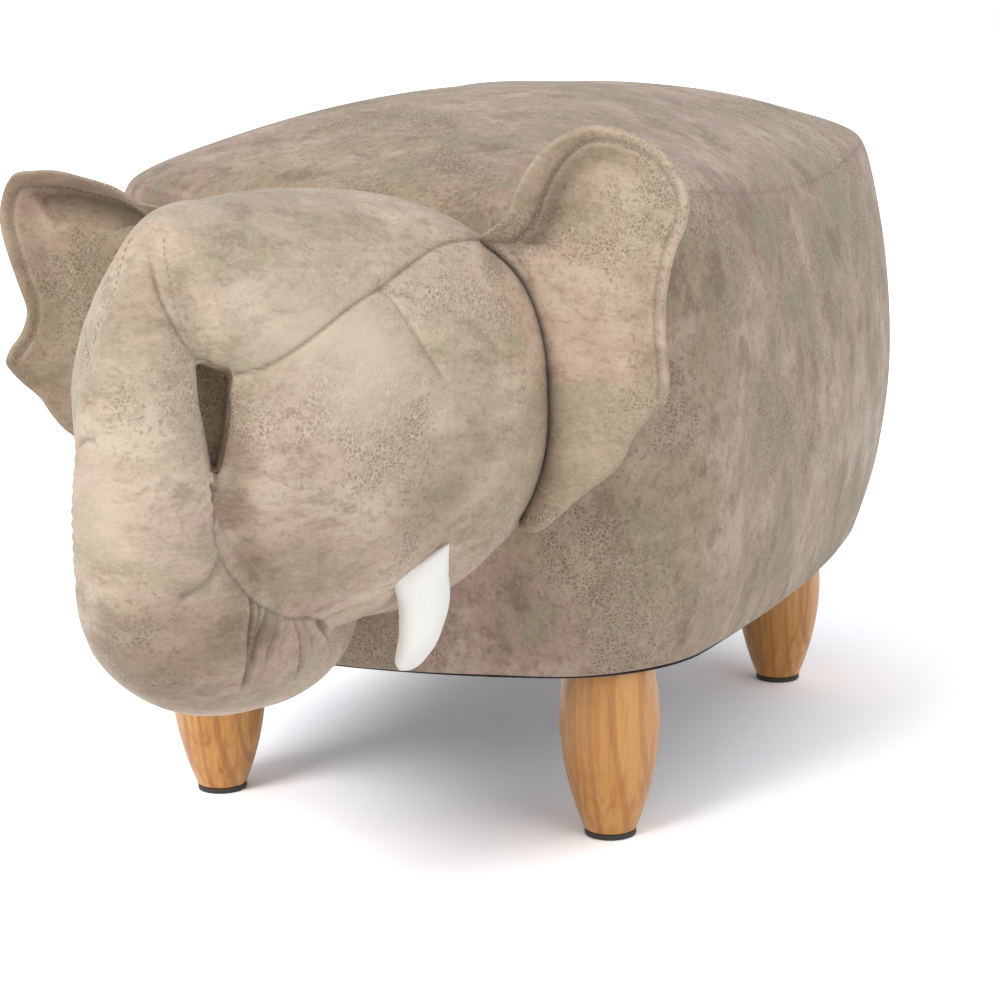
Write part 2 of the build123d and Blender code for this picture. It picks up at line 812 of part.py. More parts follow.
with BuildPart() as left_ear_front:
    add(ear_sheet(0, ear_thickness / 2))
    add(ear_outline(0), mode=Mode.INTERSECT)
    add(head_skin_form, mode=Mode.SUBTRACT)
    add(body_skin_form, mode=Mode.SUBTRACT)
    add(left_ear_pad.part, mode=Mode.SUBTRACT)
left_ear_front.part.label = "left_ear_front"

with BuildPart() as left_ear_back:
    add(ear_sheet(ear_thickness / 2, 0))
    add(ear_outline(0), mode=Mode.INTERSECT)
    add(head_skin_form, mode=Mode.SUBTRACT)
    add(body_skin_form, mode=Mode.SUBTRACT)
    add(left_ear_pad.part, mode=Mode.SUBTRACT)
left_ear_back.part.label = "left_ear_back"

# Left tusk: a padded horn that bends forward under the cheek
with BuildPart() as left_tusk:
    with BuildLine(mode=Mode.PRIVATE) as tusk_path:
        ThreePointArc(
            (tusk_root_x, body_front_y - tusk_root_ahead, tusk_root_height),
            (tusk_bend_x, body_front_y - tusk_bend_ahead, tusk_bend_height),
            (tusk_tip_x, body_front_y - tusk_tip_ahead, tusk_tip_height),
        )
    taper_shares = ((0, 1.0, 1.12), (0.3, 1.0, 0.95), (0.6, 0.82, 0.75), (0.85, 0.6, 0.52), (1, 0.3, 0.26))
    path_edge = tusk_path.edges()[0]
    tusk_sections = []
    for along_share, depth_share, width_share in taper_shares:
        section_plane = Plane(path_edge @ along_share, x_dir=(1, 0, 0), z_dir=path_edge % along_share)
        half_x = width_share * tusk_root_radius
        half_y = depth_share * tusk_root_radius
        tusk_sections.append(round_oval(section_plane, half_x, half_y, trunk_knuckle_share))
    loft(sections=tusk_sections)
    add(head_skin_form, mode=Mode.SUBTRACT)
    add(trunk_skin_form, mode=Mode.SUBTRACT)
left_tusk.part.label = "left_tusk"

# Right ear and tusk, the mirror image of the left
mirrored = {}
for source, name in (
    (left_ear_pad, "right_ear_pad"),
    (left_ear_front, "right_ear_front"),
    (left_ear_back, "right_ear_back"),
    (left_tusk, "right_tusk"),
):
    with BuildPart() as twin:
        mirror(source.part, about=Plane.YZ)
    twin.part.label = name
    mirrored[name] = twin.part

# Tail and its tuft, hanging against the back of the body
with BuildPart() as tail:
    tail_sections = []
    for share in (0, 0.33, 0.67, 1):
        height = tail_root_height + share * (tail_tip_height - tail_root_height)
        radius = tail_root_radius + share * (tail_tip_radius - tail_root_radius)
        back = body_size(max(height, widest_height), base_length, body_length, top_length)
        with BuildSketch(Plane.XY.offset(height)) as tail_face:
            with Locations((0, body_y + back + radius - tail_bury)):
                Circle(radius)
        tail_sections.append(tail_face.sketch)
    loft(sections=tail_sections)
    add(body_skin_form, mode=Mode.SUBTRACT)
tail.part.label = "tail"

with BuildPart() as tail_tuft:
    tuft_sections = []
    for along_share, radius_share in ((0, 0.55), (0.25, 0.92), (0.55, 1.0), (0.82, 0.72), (1, 0.3)):
        height = tail_tip_height - along_share * tuft_length
        with BuildSketch(Plane.XY.offset(height)) as tuft_face:
            with Locations((0, body_y + body_length / 2 + tuft_radius - tail_bury)):
                Circle(radius_share * tuft_radius)
        tuft_sections.append(tuft_face.sketch)
    loft(sections=tuft_sections)
    add(body_skin_form, mode=Mode.SUBTRACT)
tail_tuft.part.label = "tail_tuft"

# One STEP file for each piece
pieces = [base_board, seat_board, front_rail, side_wall, side_foam, seat_foam, side_cover, seat_cover]
pieces += [dust_cover, hanger_bolts, t_nuts, base_screws, seat_screws, rail_screws, head_bolts]
pieces += [head_nuts, bottom_staples, wall_nails, glide_nails, head_plate, head_stuffing]
pieces += [head_back_panel, forehead_panel, trunk_stuffing, trunk_cover]
pieces += [left_ear_pad, left_ear_front, left_ear_back, left_tusk, tail, tail_tuft]
solids = [piece.part for piece in pieces]
for group in (posts, legs, glides, cheeks, mirrored):
    solids += list(group.values())
for solid in solids:
    export_step(solid, "parts/" + solid.label + ".step")
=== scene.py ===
import math

import bpy
import numpy as np
import openvdb
from mathutils import Matrix, Vector
from mathutils.kdtree import KDTree


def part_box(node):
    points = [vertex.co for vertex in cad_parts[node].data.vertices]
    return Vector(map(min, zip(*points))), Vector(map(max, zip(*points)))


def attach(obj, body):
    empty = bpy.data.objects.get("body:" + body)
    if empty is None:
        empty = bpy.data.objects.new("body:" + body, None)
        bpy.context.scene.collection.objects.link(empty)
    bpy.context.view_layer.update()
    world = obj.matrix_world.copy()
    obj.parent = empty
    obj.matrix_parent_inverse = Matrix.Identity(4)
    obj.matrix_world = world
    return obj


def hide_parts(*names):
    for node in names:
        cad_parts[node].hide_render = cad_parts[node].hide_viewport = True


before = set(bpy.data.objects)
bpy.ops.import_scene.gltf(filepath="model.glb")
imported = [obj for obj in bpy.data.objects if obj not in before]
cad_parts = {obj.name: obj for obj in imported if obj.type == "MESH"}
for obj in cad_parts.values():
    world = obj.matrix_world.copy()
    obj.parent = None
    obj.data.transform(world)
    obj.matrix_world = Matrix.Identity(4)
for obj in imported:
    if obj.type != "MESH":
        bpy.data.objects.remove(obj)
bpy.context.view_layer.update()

# Soft forms are built in millimetres, with y = 0 at the front of the body, and
# then put in the frame. The elephant faces -y, and its left side is +x.
MM = 0.001
band_low, band_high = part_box("side_cover")
crown_low, crown_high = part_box("seat_cover")
body_front = band_low.y
body_half_length = (band_high.y - band_low.y) / 2 / MM
body_half_width = (band_high.x - band_low.x) / 2 / MM
seam_height = crown_low.z / MM
seat_height = crown_high.z / MM
body_bottom = band_low.z / MM
seam_half_width = (crown_high.x - crown_low.x) / 2 / MM
crown_draw_in = 5.0
seam_half_length = (crown_high.y - crown_low.y) / 2 / MM - crown_draw_in


def in_frame(points):
    """Points in millimetres from the front of the body, as points of the frame."""
    return np.asarray(points, float) * MM + (0, body_front, 0)


# Mesh helpers

def in_scene(name, data):
    made = bpy.data.objects.new(name, data)
    bpy.context.scene.collection.objects.link(made)
    return made


def mesh_piece(name, points, faces, slot, replaced=(), look=None):
    """A smooth mesh of quads that rides on the stool and stands for CAD nodes."""
    mesh = bpy.data.meshes.new(name)
    mesh.from_pydata(in_frame(points), [], np.asarray(faces).tolist())
    mesh.validate()
    mesh.shade_smooth()
    mesh.materials.append(looks[look or slot])
    piece = in_scene(name, mesh)
    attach(piece, "root")
    if replaced:
        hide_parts(*replaced)
    return piece


def mark(piece, name, values):
    """Keep a number for each point, for the material to read."""
    layer = piece.data.attributes.new(name, "FLOAT", "POINT")
    layer.data.foreach_set("value", np.asarray(values, np.float32))


def grid_faces(rows, columns):
    """Quads of a grid whose columns run all round."""
    row, column = np.meshgrid(np.arange(rows - 1), np.arange(columns), indexing="ij")
    a = row * columns + column
    b = row * columns + (column + 1) % columns
    return np.stack([a, b, b + columns, a + columns], -1).reshape(-1, 4)


def across_ring(first, count):
    """Strips of quads that close a ring of an even number of points."""
    k = np.arange(count // 2 - 1)
    return first + np.stack([k, k + 1, count - 2 - k, count - 1 - k], -1)


def unit(vectors):
    length = np.linalg.norm(vectors, axis=-1, keepdims=True)
    return vectors / np.maximum(length, 1e-9)


def grid_normals(points):
    """Normals of a grid of points, whose rows are rings."""
    across = np.roll(points, -1, 1) - np.roll(points, 1, 1)
    return unit(np.cross(across, np.gradient(points, axis=0)))


def face_normals(points, faces):
    """Normals at the points of a mesh of quads."""
    corner = points[faces]
    flat = np.cross(corner[:, 2] - corner[:, 0], corner[:, 3] - corner[:, 1])
    normals = np.zeros_like(points)
    for axis in range(3):
        for k in range(4):
            normals[:, axis] += np.bincount(faces[:, k], flat[:, axis], len(points))
    return unit(normals)


def relax(points, faces, rounds, weight=0.5, keep=None):
    """Even out a mesh by moving each point toward the middle of its neighbours."""
    edges = np.concatenate([faces[:, [k, (k + 1) % 4]] for k in range(4)])
    edges = np.unique(np.sort(edges, 1), axis=0)
    edges = np.concatenate([edges, edges[:, ::-1]])
    count = np.maximum(np.bincount(edges[:, 0], minlength=len(points)), 1)[:, None]
    share = weight if keep is None else weight * (1 - keep)[:, None]
    for _ in range(rounds):
        total = [np.bincount(edges[:, 0], points[edges[:, 1], k], len(points)) for k in range(3)]
        points = points + share * (np.stack(total, -1) / count - points)
    return points


def smooth_curves(x, places, *rows):
    """For each row of given values, those between them along a curve without overshoot."""
    return [smooth_curve(x, places, values) for values in rows]


def smooth_curve(x, places, values):
    places, values = np.asarray(places, float), np.asarray(values, float)
    step = np.diff(places)
    slope = np.diff(values) / step
    tangent = np.zeros_like(values)
    before, after = slope[:-1], slope[1:]
    same = before * after > 0
    tangent[1:-1][same] = 2 * before[same] * after[same] / (before[same] + after[same])
    tangent[0], tangent[-1] = slope[0], slope[-1]
    x = np.clip(x, places[0], places[-1])
    i = np.clip(np.searchsorted(places, x, side="right") - 1, 0, len(step) - 1)
    t = (x - places[i]) / step[i]
    start = values[i] * (1 + 2 * t) * (1 - t) ** 2 + tangent[i] * step[i] * t * (1 - t) ** 2
    end = values[i + 1] * t**2 * (3 - 2 * t) + tangent[i + 1] * step[i] * t**2 * (t - 1)
    return start + end


def ease(low, high, value):
    """From 0 below low to 1 above high."""
    t = np.clip((value - low) / (high - low), 0, 1)
    return t * t * (3 - 2 * t)


def bell(away, width):
    """1 on a line, and near 0 from twice the width away."""
    return np.exp(-((away / width) ** 2))


def grooved(away, grooves):
    """Height of grooves along a line, each given as its depth and width."""
    return -sum(depth * bell(away, width) for depth, width in grooves)


def drift(points, size, seed):
    """Soft noise between -1 and 1 whose lumps are about size across."""
    table = np.random.RandomState(seed).uniform(-1, 1, (24, 24, 24))
    cell = np.asarray(points) / size + 100
    low = np.floor(cell).astype(int)
    t = cell - low
    t = t * t * (3 - 2 * t)
    total = 0
    for corner in np.ndindex(2, 2, 2):
        share = np.prod(np.where(corner, t, 1 - t), axis=-1)
        x, y, z = np.moveaxis((low + corner) % 24, -1, 0)
        total = total + share * table[x, y, z]
    return total


def at(knots):
    """Points chosen as (from the middle, ahead, up), in the axes of the mesh."""
    return np.asarray(knots, float) * (1, -1, 1)


def spaced(path, step, closed=False):
    """Points at even steps along a path."""
    path = np.asarray(path, float)
    if closed:
        path = np.vstack([path, path[:1]])
    length = np.concatenate([[0], np.cumsum(np.linalg.norm(np.diff(path, axis=0), axis=1))])
    count = max(int(round(length[-1] / step)), 2)
    places = np.linspace(0, length[-1], count + 1)
    if closed:
        places = places[:-1]
    return np.stack([np.interp(places, length, path[:, k]) for k in range(path.shape[1])], -1)


def through(knots, steps=12, closed=False):
    """A smooth path through given points."""
    knots = np.asarray(knots, float)
    if closed:
        knots = np.vstack([knots[-1:], knots, knots[:2]])
    else:
        knots = np.vstack([2 * knots[0] - knots[1], knots, 2 * knots[-1] - knots[-2]])
    t = np.linspace(0, 1, steps, endpoint=False)[:, None]
    pieces = []
    for a, b, c, d in zip(knots, knots[1:], knots[2:], knots[3:]):
        bend = (2 * a - 5 * b + 4 * c - d) * t**2 + (3 * b - a - 3 * c + d) * t**3
        pieces.append(b + ((c - a) * t + bend) / 2)
    if not closed:
        pieces.append(knots[-2:-1])
    return np.vstack(pieces)


def distance_to(points, path):
    """Distance from each point to a path of close points, and the place along it."""
    best = np.full(len(points), 1e9)
    place = np.zeros(len(points))
    near = np.all((points > path.min(0) - 40) & (points < path.max(0) + 40), axis=1)
    rows = np.flatnonzero(near)
    for start in range(0, len(rows), 20000):
        part = rows[start : start + 20000]
        away = np.linalg.norm(points[part, None] - path[None], axis=2)
        best[part] = away.min(1)
        place[part] = away.argmin(1)
    return best, place


# Camera at the photograph's place and angle
camera_side = 0.5369
camera_ahead = 1.0919
camera_height = 0.4352
camera_dip = math.radians(11.68)
camera_turn = math.radians(22.38)
camera_roll = math.radians(-0.93)
camera_lens_share = 2.4976


def add_camera():
    data = bpy.data.cameras.new("camera")
    data.sensor_width = 36
    data.lens = 36 * camera_lens_share
    camera = in_scene("camera", data)
    turns = ((camera_turn, "Z"), (math.pi / 2 - camera_dip, "X"), (camera_roll, "Z"))
    camera.matrix_world = Matrix.Translation((camera_side, body_front - camera_ahead, camera_height))
    for angle, axis in turns:
        camera.matrix_world = camera.matrix_world @ Matrix.Rotation(angle, 4, axis)
    bpy.context.scene.camera = camera


# Shader nodes

def feed(tree, place, value):
    """Link an input to a socket, or set its value."""
    if isinstance(value, bpy.types.NodeSocket):
        tree.links.new(value, place)
    else:
        place.default_value = (*value, 1) if place.type == "RGBA" else value


def fed(tree, made, *values):
    """A node, with its inputs fed in their order."""
    for place, value in zip(made.inputs, values):
        feed(tree, place, value)
    return made


def node(tree, kind, **values):
    """A shader node, with its settings, and its inputs fed by name."""
    made = tree.nodes.new("ShaderNode" + kind)
    for name, value in values.items():
        if name in made.inputs:
            feed(tree, made.inputs[name], value)
        else:
            setattr(made, name, value)
    return made


def emptied(owner):
    """The node tree of a material or world, without its nodes."""
    owner.use_nodes = True
    owner.node_tree.nodes.clear()
    return owner.node_tree


def combined(tree, operation, first, second):
    return fed(tree, node(tree, "Math", operation=operation), first, second).outputs[0]


def stretched(tree, vector, x, y, z):
    return fed(tree, node(tree, "VectorMath", operation="MULTIPLY"), vector, (x, y, z)).outputs[0]


def noise(tree, vector, scale, detail=3.0, roughness=0.5, distortion=0.0):
    return node(tree, "TexNoise", Vector=vector, Scale=scale, Detail=detail, Roughness=roughness,
                Distortion=distortion).outputs["Fac"]


def spread(tree, value, low, high, to_low=0.0, to_high=1.0):
    """The part of a value between low and high, stretched to another range."""
    made = node(tree, "MapRange", interpolation_type="SMOOTHSTEP")
    return fed(tree, made, value, low, high, to_low, to_high).outputs[0]


def tint(tree, share, first, second, kind="MIX"):
    """First colour turned toward the second one by a share."""
    made = node(tree, "Mix", data_type="RGBA", blend_type=kind)
    colours = [place for place in made.inputs if place.type == "RGBA"]
    for place, value in zip([made.inputs[0]] + colours, (share, first, second)):
        feed(tree, place, value)
    return [place for place in made.outputs if place.type == "RGBA"][0]


def layered(tree, colour, layers):
    """A colour under layers, each given as what shows it, its spread and its colour."""
    for value, low, high, to_low, to_high, other in layers:
        colour = tint(tree, spread(tree, value, low, high, to_low, to_high), colour, other)
    return colour


def bump(tree, height, strength, distance, **under):
    """Normals that show a height as relief, over other normals if they are given."""
    return node(tree, "Bump", Strength=strength, Distance=distance, Height=height, **under).outputs[0]


def marked(tree, name):
    """The number that a mesh keeps for each point under a name."""
    return node(tree, "Attribute", attribute_name=name, attribute_type="GEOMETRY").outputs["Fac"]


def seen_rays(tree):
    """1 where the camera, a reflection or a view through glass looks, 0 for light."""
    path = node(tree, "LightPath").outputs
    straight = combined(tree, "MAXIMUM", path["Is Camera Ray"], path["Is Glossy Ray"])
    return combined(tree, "MAXIMUM", straight, path["Is Transmission Ray"])


def show_when_seen(tree, lit, seen, output):
    """Light meets the first shader, and whatever looks at the surface sees the second."""
    mix = fed(tree, node(tree, "MixShader"), seen_rays(tree), lit.outputs[0], seen.outputs[0])
    fed(tree, node(tree, output), mix.outputs[0])


# Soft studio light, its key from the camera's left and its fill from the right,
# and a pale floor that keeps the shadow
world_light = 0.7
key_strength = 1.6
key_angle = math.radians(28)
key_from = (-0.3, -0.8, 0.66)
fill_strength = 0.42
fill_angle = math.radians(40)
fill_from = (0.85, -0.45, 0.3)
floor_seen = (0.82, 0.82, 0.8446)
floor_lit = (0.9, 0.9, 0.91)
floor_reach = 12.0


def add_soft_light(name, place, strength, angle):
    data = bpy.data.lights.new(name, "SUN")
    data.energy = strength
    data.angle = angle
    in_scene(name, data).rotation_euler = Vector(place).to_track_quat("Z", "Y").to_euler()


def add_studio():
    world = bpy.data.worlds.new("studio")
    bpy.context.scene.world = world
    tree = emptied(world)
    light = node(tree, "Background", Color=(0.97, 0.98, 1.0), Strength=world_light)
    white = node(tree, "Background", Color=(1, 1, 1), Strength=1.0)
    show_when_seen(tree, light, white, "OutputWorld")

    add_soft_light("key", key_from, key_strength, key_angle)
    add_soft_light("fill", fill_from, fill_strength, fill_angle)

    material = bpy.data.materials.new("floor_white")
    tree = emptied(material)
    halves = [node(tree, "BsdfDiffuse", Color=floor_seen).outputs[0] for _ in range(2)]
    bright = fed(tree, node(tree, "AddShader"), *halves)
    show_when_seen(tree, node(tree, "BsdfDiffuse", Color=floor_lit), bright, "OutputMaterial")
    mesh = bpy.data.meshes.new("floor")
    corners = [(x * floor_reach, y * floor_reach, 0) for x, y in ((-1, -1), (1, -1), (1, 1), (-1, 1))]
    mesh.from_pydata(corners, [], [(0, 1, 2, 3)])
    mesh.materials.append(material)
    floor = in_scene("floor", mesh)
    bpy.context.scene.view_settings.view_transform = "Standard"


add_camera()
add_studio()


# Materials, each kept by its name
looks = {}
crackle_scale = 500.0
crackle_wobble = 0.005
# Brown that the mesh's tone multiplies in above 0: mostly painted shade.
painted_shade_brown = (0.58, 0.54, 0.485)
# Painted shade in seam grooves, creases and gaps darkens the leather toward this share of its brown.
groove_shade_darkness = 0.16


def new_material(name):
    """A material's tree, its shader and its places on the object."""
    looks[name] = bpy.data.materials.new(name)
    tree = emptied(looks[name])
    shader = node(tree, "BsdfPrincipled")
    fed(tree, node(tree, "OutputMaterial"), shader.outputs[0])
    return tree, shader, node(tree, "TexCoord").outputs["Object"]


def set_shader(tree, shader, values):
    for name, value in values.items():
        feed(tree, shader.inputs[name], value)


def distressed_leather(name, base, cream, pink, olive, brown, streak_way, crackle):
    """Mottled imitation suede: drifting tints, rubbed pale patches, streaks and fine crackle, with painted
    shade and light from the mesh's marks.
    """
    tree, shader, place = new_material(name)
    drawn = stretched(tree, place, *streak_way)
    cloud = noise(tree, place, 8.0, 2.0, 0.5)
    patch = noise(tree, drawn, 21.0, 6.0, 0.62)
    other = noise(tree, stretched(tree, drawn, 1.0, 1.13, 1.0), 31.0, 6.0, 0.62)
    blot = noise(tree, drawn, 110.0, 6.0, 0.7)
    speck = noise(tree, place, 380.0, 3.0, 0.65)
    where = noise(tree, place, 13.0, 3.0, 0.6)
    lines = noise(tree, stretched(tree, drawn, 160.0, 160.0, 160.0), 1.0, 4.0, 0.7)
    thread = noise(tree, stretched(tree, drawn, 420.0, 420.0, 420.0), 1.0, 3.0, 0.6)
    colour = layered(tree, base, (
        (cloud, 0.42, 0.58, 0.0, 1.0, pink),
        (patch, 0.5, 0.6, 0.0, 0.85, olive),
        (patch, 0.38, 0.49, 0.7, 0.0, cream),
        (other, 0.53, 0.64, 0.0, 0.6, brown),
        (blot, 0.52, 0.68, 0.0, 0.4, brown),
        (blot, 0.32, 0.46, 0.4, 0.0, cream),
        (lines, 0.5, 0.68, 0.0, 0.45, brown),
        (thread, 0.5, 0.64, 0.0, 0.3, cream),
    ))
    dusty = spread(tree, where, 0.42, 0.58, 0.25, 0.8)
    colour = tint(tree, combined(tree, "MULTIPLY", spread(tree, speck, 0.55, 0.66), dusty), colour, brown)

    shift = node(tree, "TexNoise", Vector=place, Scale=150.0, Detail=2.0).outputs["Color"]
    wobble = node(tree, "VectorMath", operation="MULTIPLY_ADD")
    fed(tree, wobble, shift, (crackle_wobble,) * 3, place)
    from_edge = node(tree, "TexVoronoi", feature="DISTANCE_TO_EDGE", Scale=crackle_scale,
                     Vector=wobble.outputs[0]).outputs["Distance"]
    cluster = spread(tree, where, 0.51, 0.6, 0.0, crackle)
    ragged = combined(tree, "MULTIPLY", cluster, spread(tree, blot, 0.42, 0.54, 0.25, 1.0))
    inside = combined(tree, "MULTIPLY", spread(tree, from_edge, 0.1, 0.26, 0.0, 0.8), ragged)
    raised = combined(tree, "MULTIPLY", spread(tree, from_edge, 0.03, 0.16, 1.0, 0.0), ragged)
    colour = tint(tree, inside, colour, brown)
    colour = tint(tree, combined(tree, "MULTIPLY", raised, 0.7), colour, cream)

    # The mesh's tone paints shade (browner, above 0) and light (paler, below 0) into the colour.
    tone = marked(tree, "tone")
    colour = tint(tree, spread(tree, tone, 0.0, 1.0), colour, painted_shade_brown, "MULTIPLY")
    colour = tint(tree, spread(tree, tone, -1.0, 0.0, 1.0, 0.0), colour, cream)
    relief = bump(tree, speck, 0.4, 0.0006)
    relief = bump(tree, raised, 0.6, 0.0005, Normal=relief)
    # The base colour takes painted shade from the mesh's groove mark, in seams, creases, pleats and gaps.
    set_shader(tree, shader, {
        "Base Color": tint(tree, marked(tree, "groove_shade"), colour, tuple(groove_shade_darkness * c for c in brown)),
        "Roughness": spread(tree, patch, 0.35, 0.65, 0.6, 0.78),
        "Specular IOR Level": 0.35,
        "Sheen Weight": 0.14,
        "Sheen Roughness": 0.45,
        "Normal": bump(tree, lines, 0.22, 0.0006, Normal=relief),
    })


def plain_material(name, colour, dark, rough, grain_scale, grain_depth, sheen=0.0):
    """A matte material with a fine grain and a faint change of tone."""
    tree, shader, place = new_material(name)
    grain = noise(tree, place, grain_scale, 4.0, 0.6)
    tone = noise(tree, place, grain_scale / 12, 3.0, 0.5)
    layers = ((tone, 0.35, 0.65, 0.0, 0.35, dark), (grain, 0.45, 0.7, 0.0, 0.4, dark))
    set_shader(tree, shader, {
        "Base Color": layered(tree, colour, layers),
        "Roughness": rough,
        "Sheen Weight": sheen,
        "Normal": bump(tree, grain, 0.5, grain_depth),
    })


def lacquered_pine(name):
    """Honey-coloured pine with upright grain, under a thin clear lacquer."""
    tree, shader, place = new_material(name)
    wander = noise(tree, stretched(tree, place, 14.0, 14.0, 2.2), 1.0, 2.0, 0.5)
    bands = noise(tree, stretched(tree, place, 210.0, 210.0, 7.0), 1.0, 4.0, 0.55, 0.8)
    fibre = noise(tree, stretched(tree, place, 1500.0, 1500.0, 45.0), 1.0, 3.0, 0.6)
    rings = node(tree, "TexWave", Scale=34.0, Distortion=7.0, Detail=2.0, **{"Detail Scale": 0.7})
    feed(tree, rings.inputs["Vector"], stretched(tree, place, 1.0, 0.6, 0.1))
    light, honey, brown = (0.65, 0.325, 0.09), (0.54, 0.23, 0.045), (0.29, 0.095, 0.016)
    colour = layered(tree, light, (
        (bands, 0.36, 0.6, 0.0, 1.0, honey),
        (bands, 0.55, 0.7, 0.0, 0.65, brown),
        (rings.outputs["Fac"], 0.72, 1.0, 0.0, 0.5, brown),
        (wander, 0.4, 0.65, 0.0, 0.4, honey),
        (fibre, 0.5, 0.75, 0.0, 0.35, brown),
    ))
    set_shader(tree, shader, {
        "Base Color": colour,
        "Roughness": 0.42,
        "Coat Weight": 0.35,
        "Coat Roughness": 0.28,
        "Normal": bump(tree, fibre, 0.12, 0.0003),
    })


distressed_leather(
    "head_leather",
    base=(0.545, 0.43, 0.32),
    cream=(0.68, 0.56, 0.43),
    pink=(0.58, 0.425, 0.34),
    olive=(0.435, 0.38, 0.265),
    brown=(0.33, 0.235, 0.162),
    streak_way=(0.75, 0.75, 1.6),
    crackle=1.0,
)
distressed_leather(
    "body_leather",
    base=(0.36, 0.27, 0.185),
    cream=(0.47, 0.37, 0.275),
    pink=(0.37, 0.25, 0.20),
    olive=(0.28, 0.245, 0.16),
    brown=(0.18, 0.12, 0.08),
    streak_way=(1.15, 1.15, 0.85),
    crackle=0.9,
)
plain_looks = (
    ("tusk_felt", (0.90, 0.885, 0.85), (0.84, 0.82, 0.78), 0.95, 900.0, 0.0005, 0.2),
    ("dust_cloth", (0.02, 0.02, 0.022), (0.012, 0.012, 0.013), 0.9, 1400.0, 0.0004),
    ("glide_plastic", (0.035, 0.03, 0.027), (0.02, 0.018, 0.016), 0.6, 900.0, 0.0002),
    ("tuft_suede", (0.30, 0.22, 0.16), (0.22, 0.16, 0.115), 0.9, 700.0, 0.0005, 0.3),
    ("sewing_thread", (0.43, 0.34, 0.26), (0.30, 0.23, 0.17), 0.8, 2500.0, 0.0002),
    ("frame_timber", (0.62, 0.45, 0.27), (0.46, 0.31, 0.17), 0.7, 160.0, 0.0004),
    ("plywood", (0.60, 0.46, 0.30), (0.48, 0.35, 0.22), 0.75, 220.0, 0.0003),
    ("foam", (0.80, 0.77, 0.66), (0.70, 0.66, 0.55), 0.95, 700.0, 0.0008),
    ("fibre_stuffing", (0.85, 0.85, 0.84), (0.74, 0.74, 0.73), 1.0, 300.0, 0.002),
    ("zinc_steel", (0.60, 0.61, 0.62), (0.45, 0.46, 0.48), 0.38, 1200.0, 0.0001),
)
for row in plain_looks:
    plain_material(*row)
lacquered_pine("leg_wood")


# Seat body: a sewn band with a barrel side, and a crowned top panel
corner_share = 0.5
bow_share = 0.045
widest_height = 210.0
base_half_width = 166.0
base_half_length = 233.5
crown_shoulder = 0.17
crown_front_shoulder = 0.06
crown_rear_rise = 0.16
crown_roundness = 2.15
crown_edge_roundness = 14
crown_rows = 90
corner_lift = 26.0
back_lift = 3.0
all_lift = -1.5
turned_under = ((19.0, 1.5), (9.0, 0.8), (3.0, 0.2))
band_rim = 3.0
band_row_step = 2.4
body_seam_grooves = ((0.7, 5.0), (0.6, 1.2))
body_seam_shade = 0.2
body_seam_line = 1.1
body_unevenness = 0.9
around_side, around_end, around_corner = 110, 76, 34


def arc(middle, radius, start, end, count):
    """Points of an arc, without its last one."""
    angle = np.linspace(start, end, count, endpoint=False)
    return np.stack([np.cos(angle), np.sin(angle)], -1) * radius + middle


def soft_oval(half_x, half_y, inset=0.0):
    """Outline of the body: four bowed sides joined by round corners."""
    corner = corner_share * half_x - inset
    bow_x, bow_y = bow_share * half_x, bow_share * half_y
    half_x, half_y = half_x - inset, half_y - inset
    knuckle = np.array([half_x - corner - bow_x, half_y - corner - bow_y])
    radius_x = corner + (bow_x**2 + knuckle[1] ** 2) / (2 * bow_x)
    radius_y = corner + (bow_y**2 + knuckle[0] ** 2) / (2 * bow_y)
    turn_x = math.asin(knuckle[1] / (radius_x - corner))
    turn_y = math.asin(knuckle[0] / (radius_y - corner))
    side = (np.array([half_x - radius_x, 0]), radius_x, turn_x, around_side)
    end = (np.array([0, half_y - radius_y]), radius_y, turn_y, around_end)
    arcs = []
    for quarter, sign in enumerate(((1, 1), (-1, 1), (-1, -1), (1, -1))):
        middle, radius, turn, count = (side, end)[quarter % 2]
        turn_after = (turn_y, turn_x)[quarter % 2]
        flip = -1 if quarter > 1 else 1
        facing = quarter * math.pi / 2
        arcs.append(arc(flip * middle, radius, facing - turn, facing + turn, count))
        last = facing + math.pi / 2 - turn_after
        arcs.append(arc(np.array(sign) * knuckle, corner, facing + turn, last, around_corner))
    return np.vstack(arcs)


def half_sizes(height):
    """Half width and half length of the barrel-shaped body at a height."""
    below = np.clip((widest_height - height) / (widest_height - body_bottom), 0, 1)
    above = np.clip((height - widest_height) / (seam_height - widest_height), 0, 1)
    widths = (base_half_width, body_half_width, seam_half_width)
    lengths = (base_half_length, body_half_length, seam_half_length)
    return [widest - (widest - low) * below**2 - (widest - high) * above**2
            for low, widest, high in (widths, lengths)]


def ring_at(ring, height):
    """The points of an outline, brought to a height and behind the front of the body."""
    return np.column_stack([ring[:, 0], ring[:, 1] + body_half_length, np.full(len(ring), height)])


def body_ring(height, inset=0.0):
    return ring_at(soft_oval(*half_sizes(height), inset), height)


def lifted(grid, share):
    """The seam is drawn up at the four corners of the body."""
    x = grid[..., 0] / seam_half_width
    y = (grid[..., 1] - body_half_length) / seam_half_length
    corners = np.minimum(np.abs(x), 1) ** 1.5 * np.minimum(np.abs(y), 1) ** 2
    lift = corner_lift * corners + back_lift * y + all_lift
    return grid + np.stack([np.zeros_like(x), np.zeros_like(x), lift * share], -1)


def settle(points, normals, seed, depth):
    """Slight unevenness of stuffed leather."""
    wide = drift(points, 95.0, seed) * depth
    small = drift(points, 34.0, seed + 1) * depth * 0.4
    return points + normals * (wide + small)[:, None]


def sew_body_piece(name, grid, away, faces, nodes):
    """A cover of the body, drawn in along the seam and settled over its foam."""
    normals = grid_normals(grid)
    grid = grid + normals * grooved(away, body_seam_grooves)[..., None]
    points = settle(grid.reshape(-1, 3), normals.reshape(-1, 3), 3, body_unevenness)
    piece = mesh_piece(name, points, faces, "body_leather", nodes)
    # Painted shade along the seam groove.
    mark(piece, "groove_shade", body_seam_shade * bell(away.ravel(), body_seam_line))


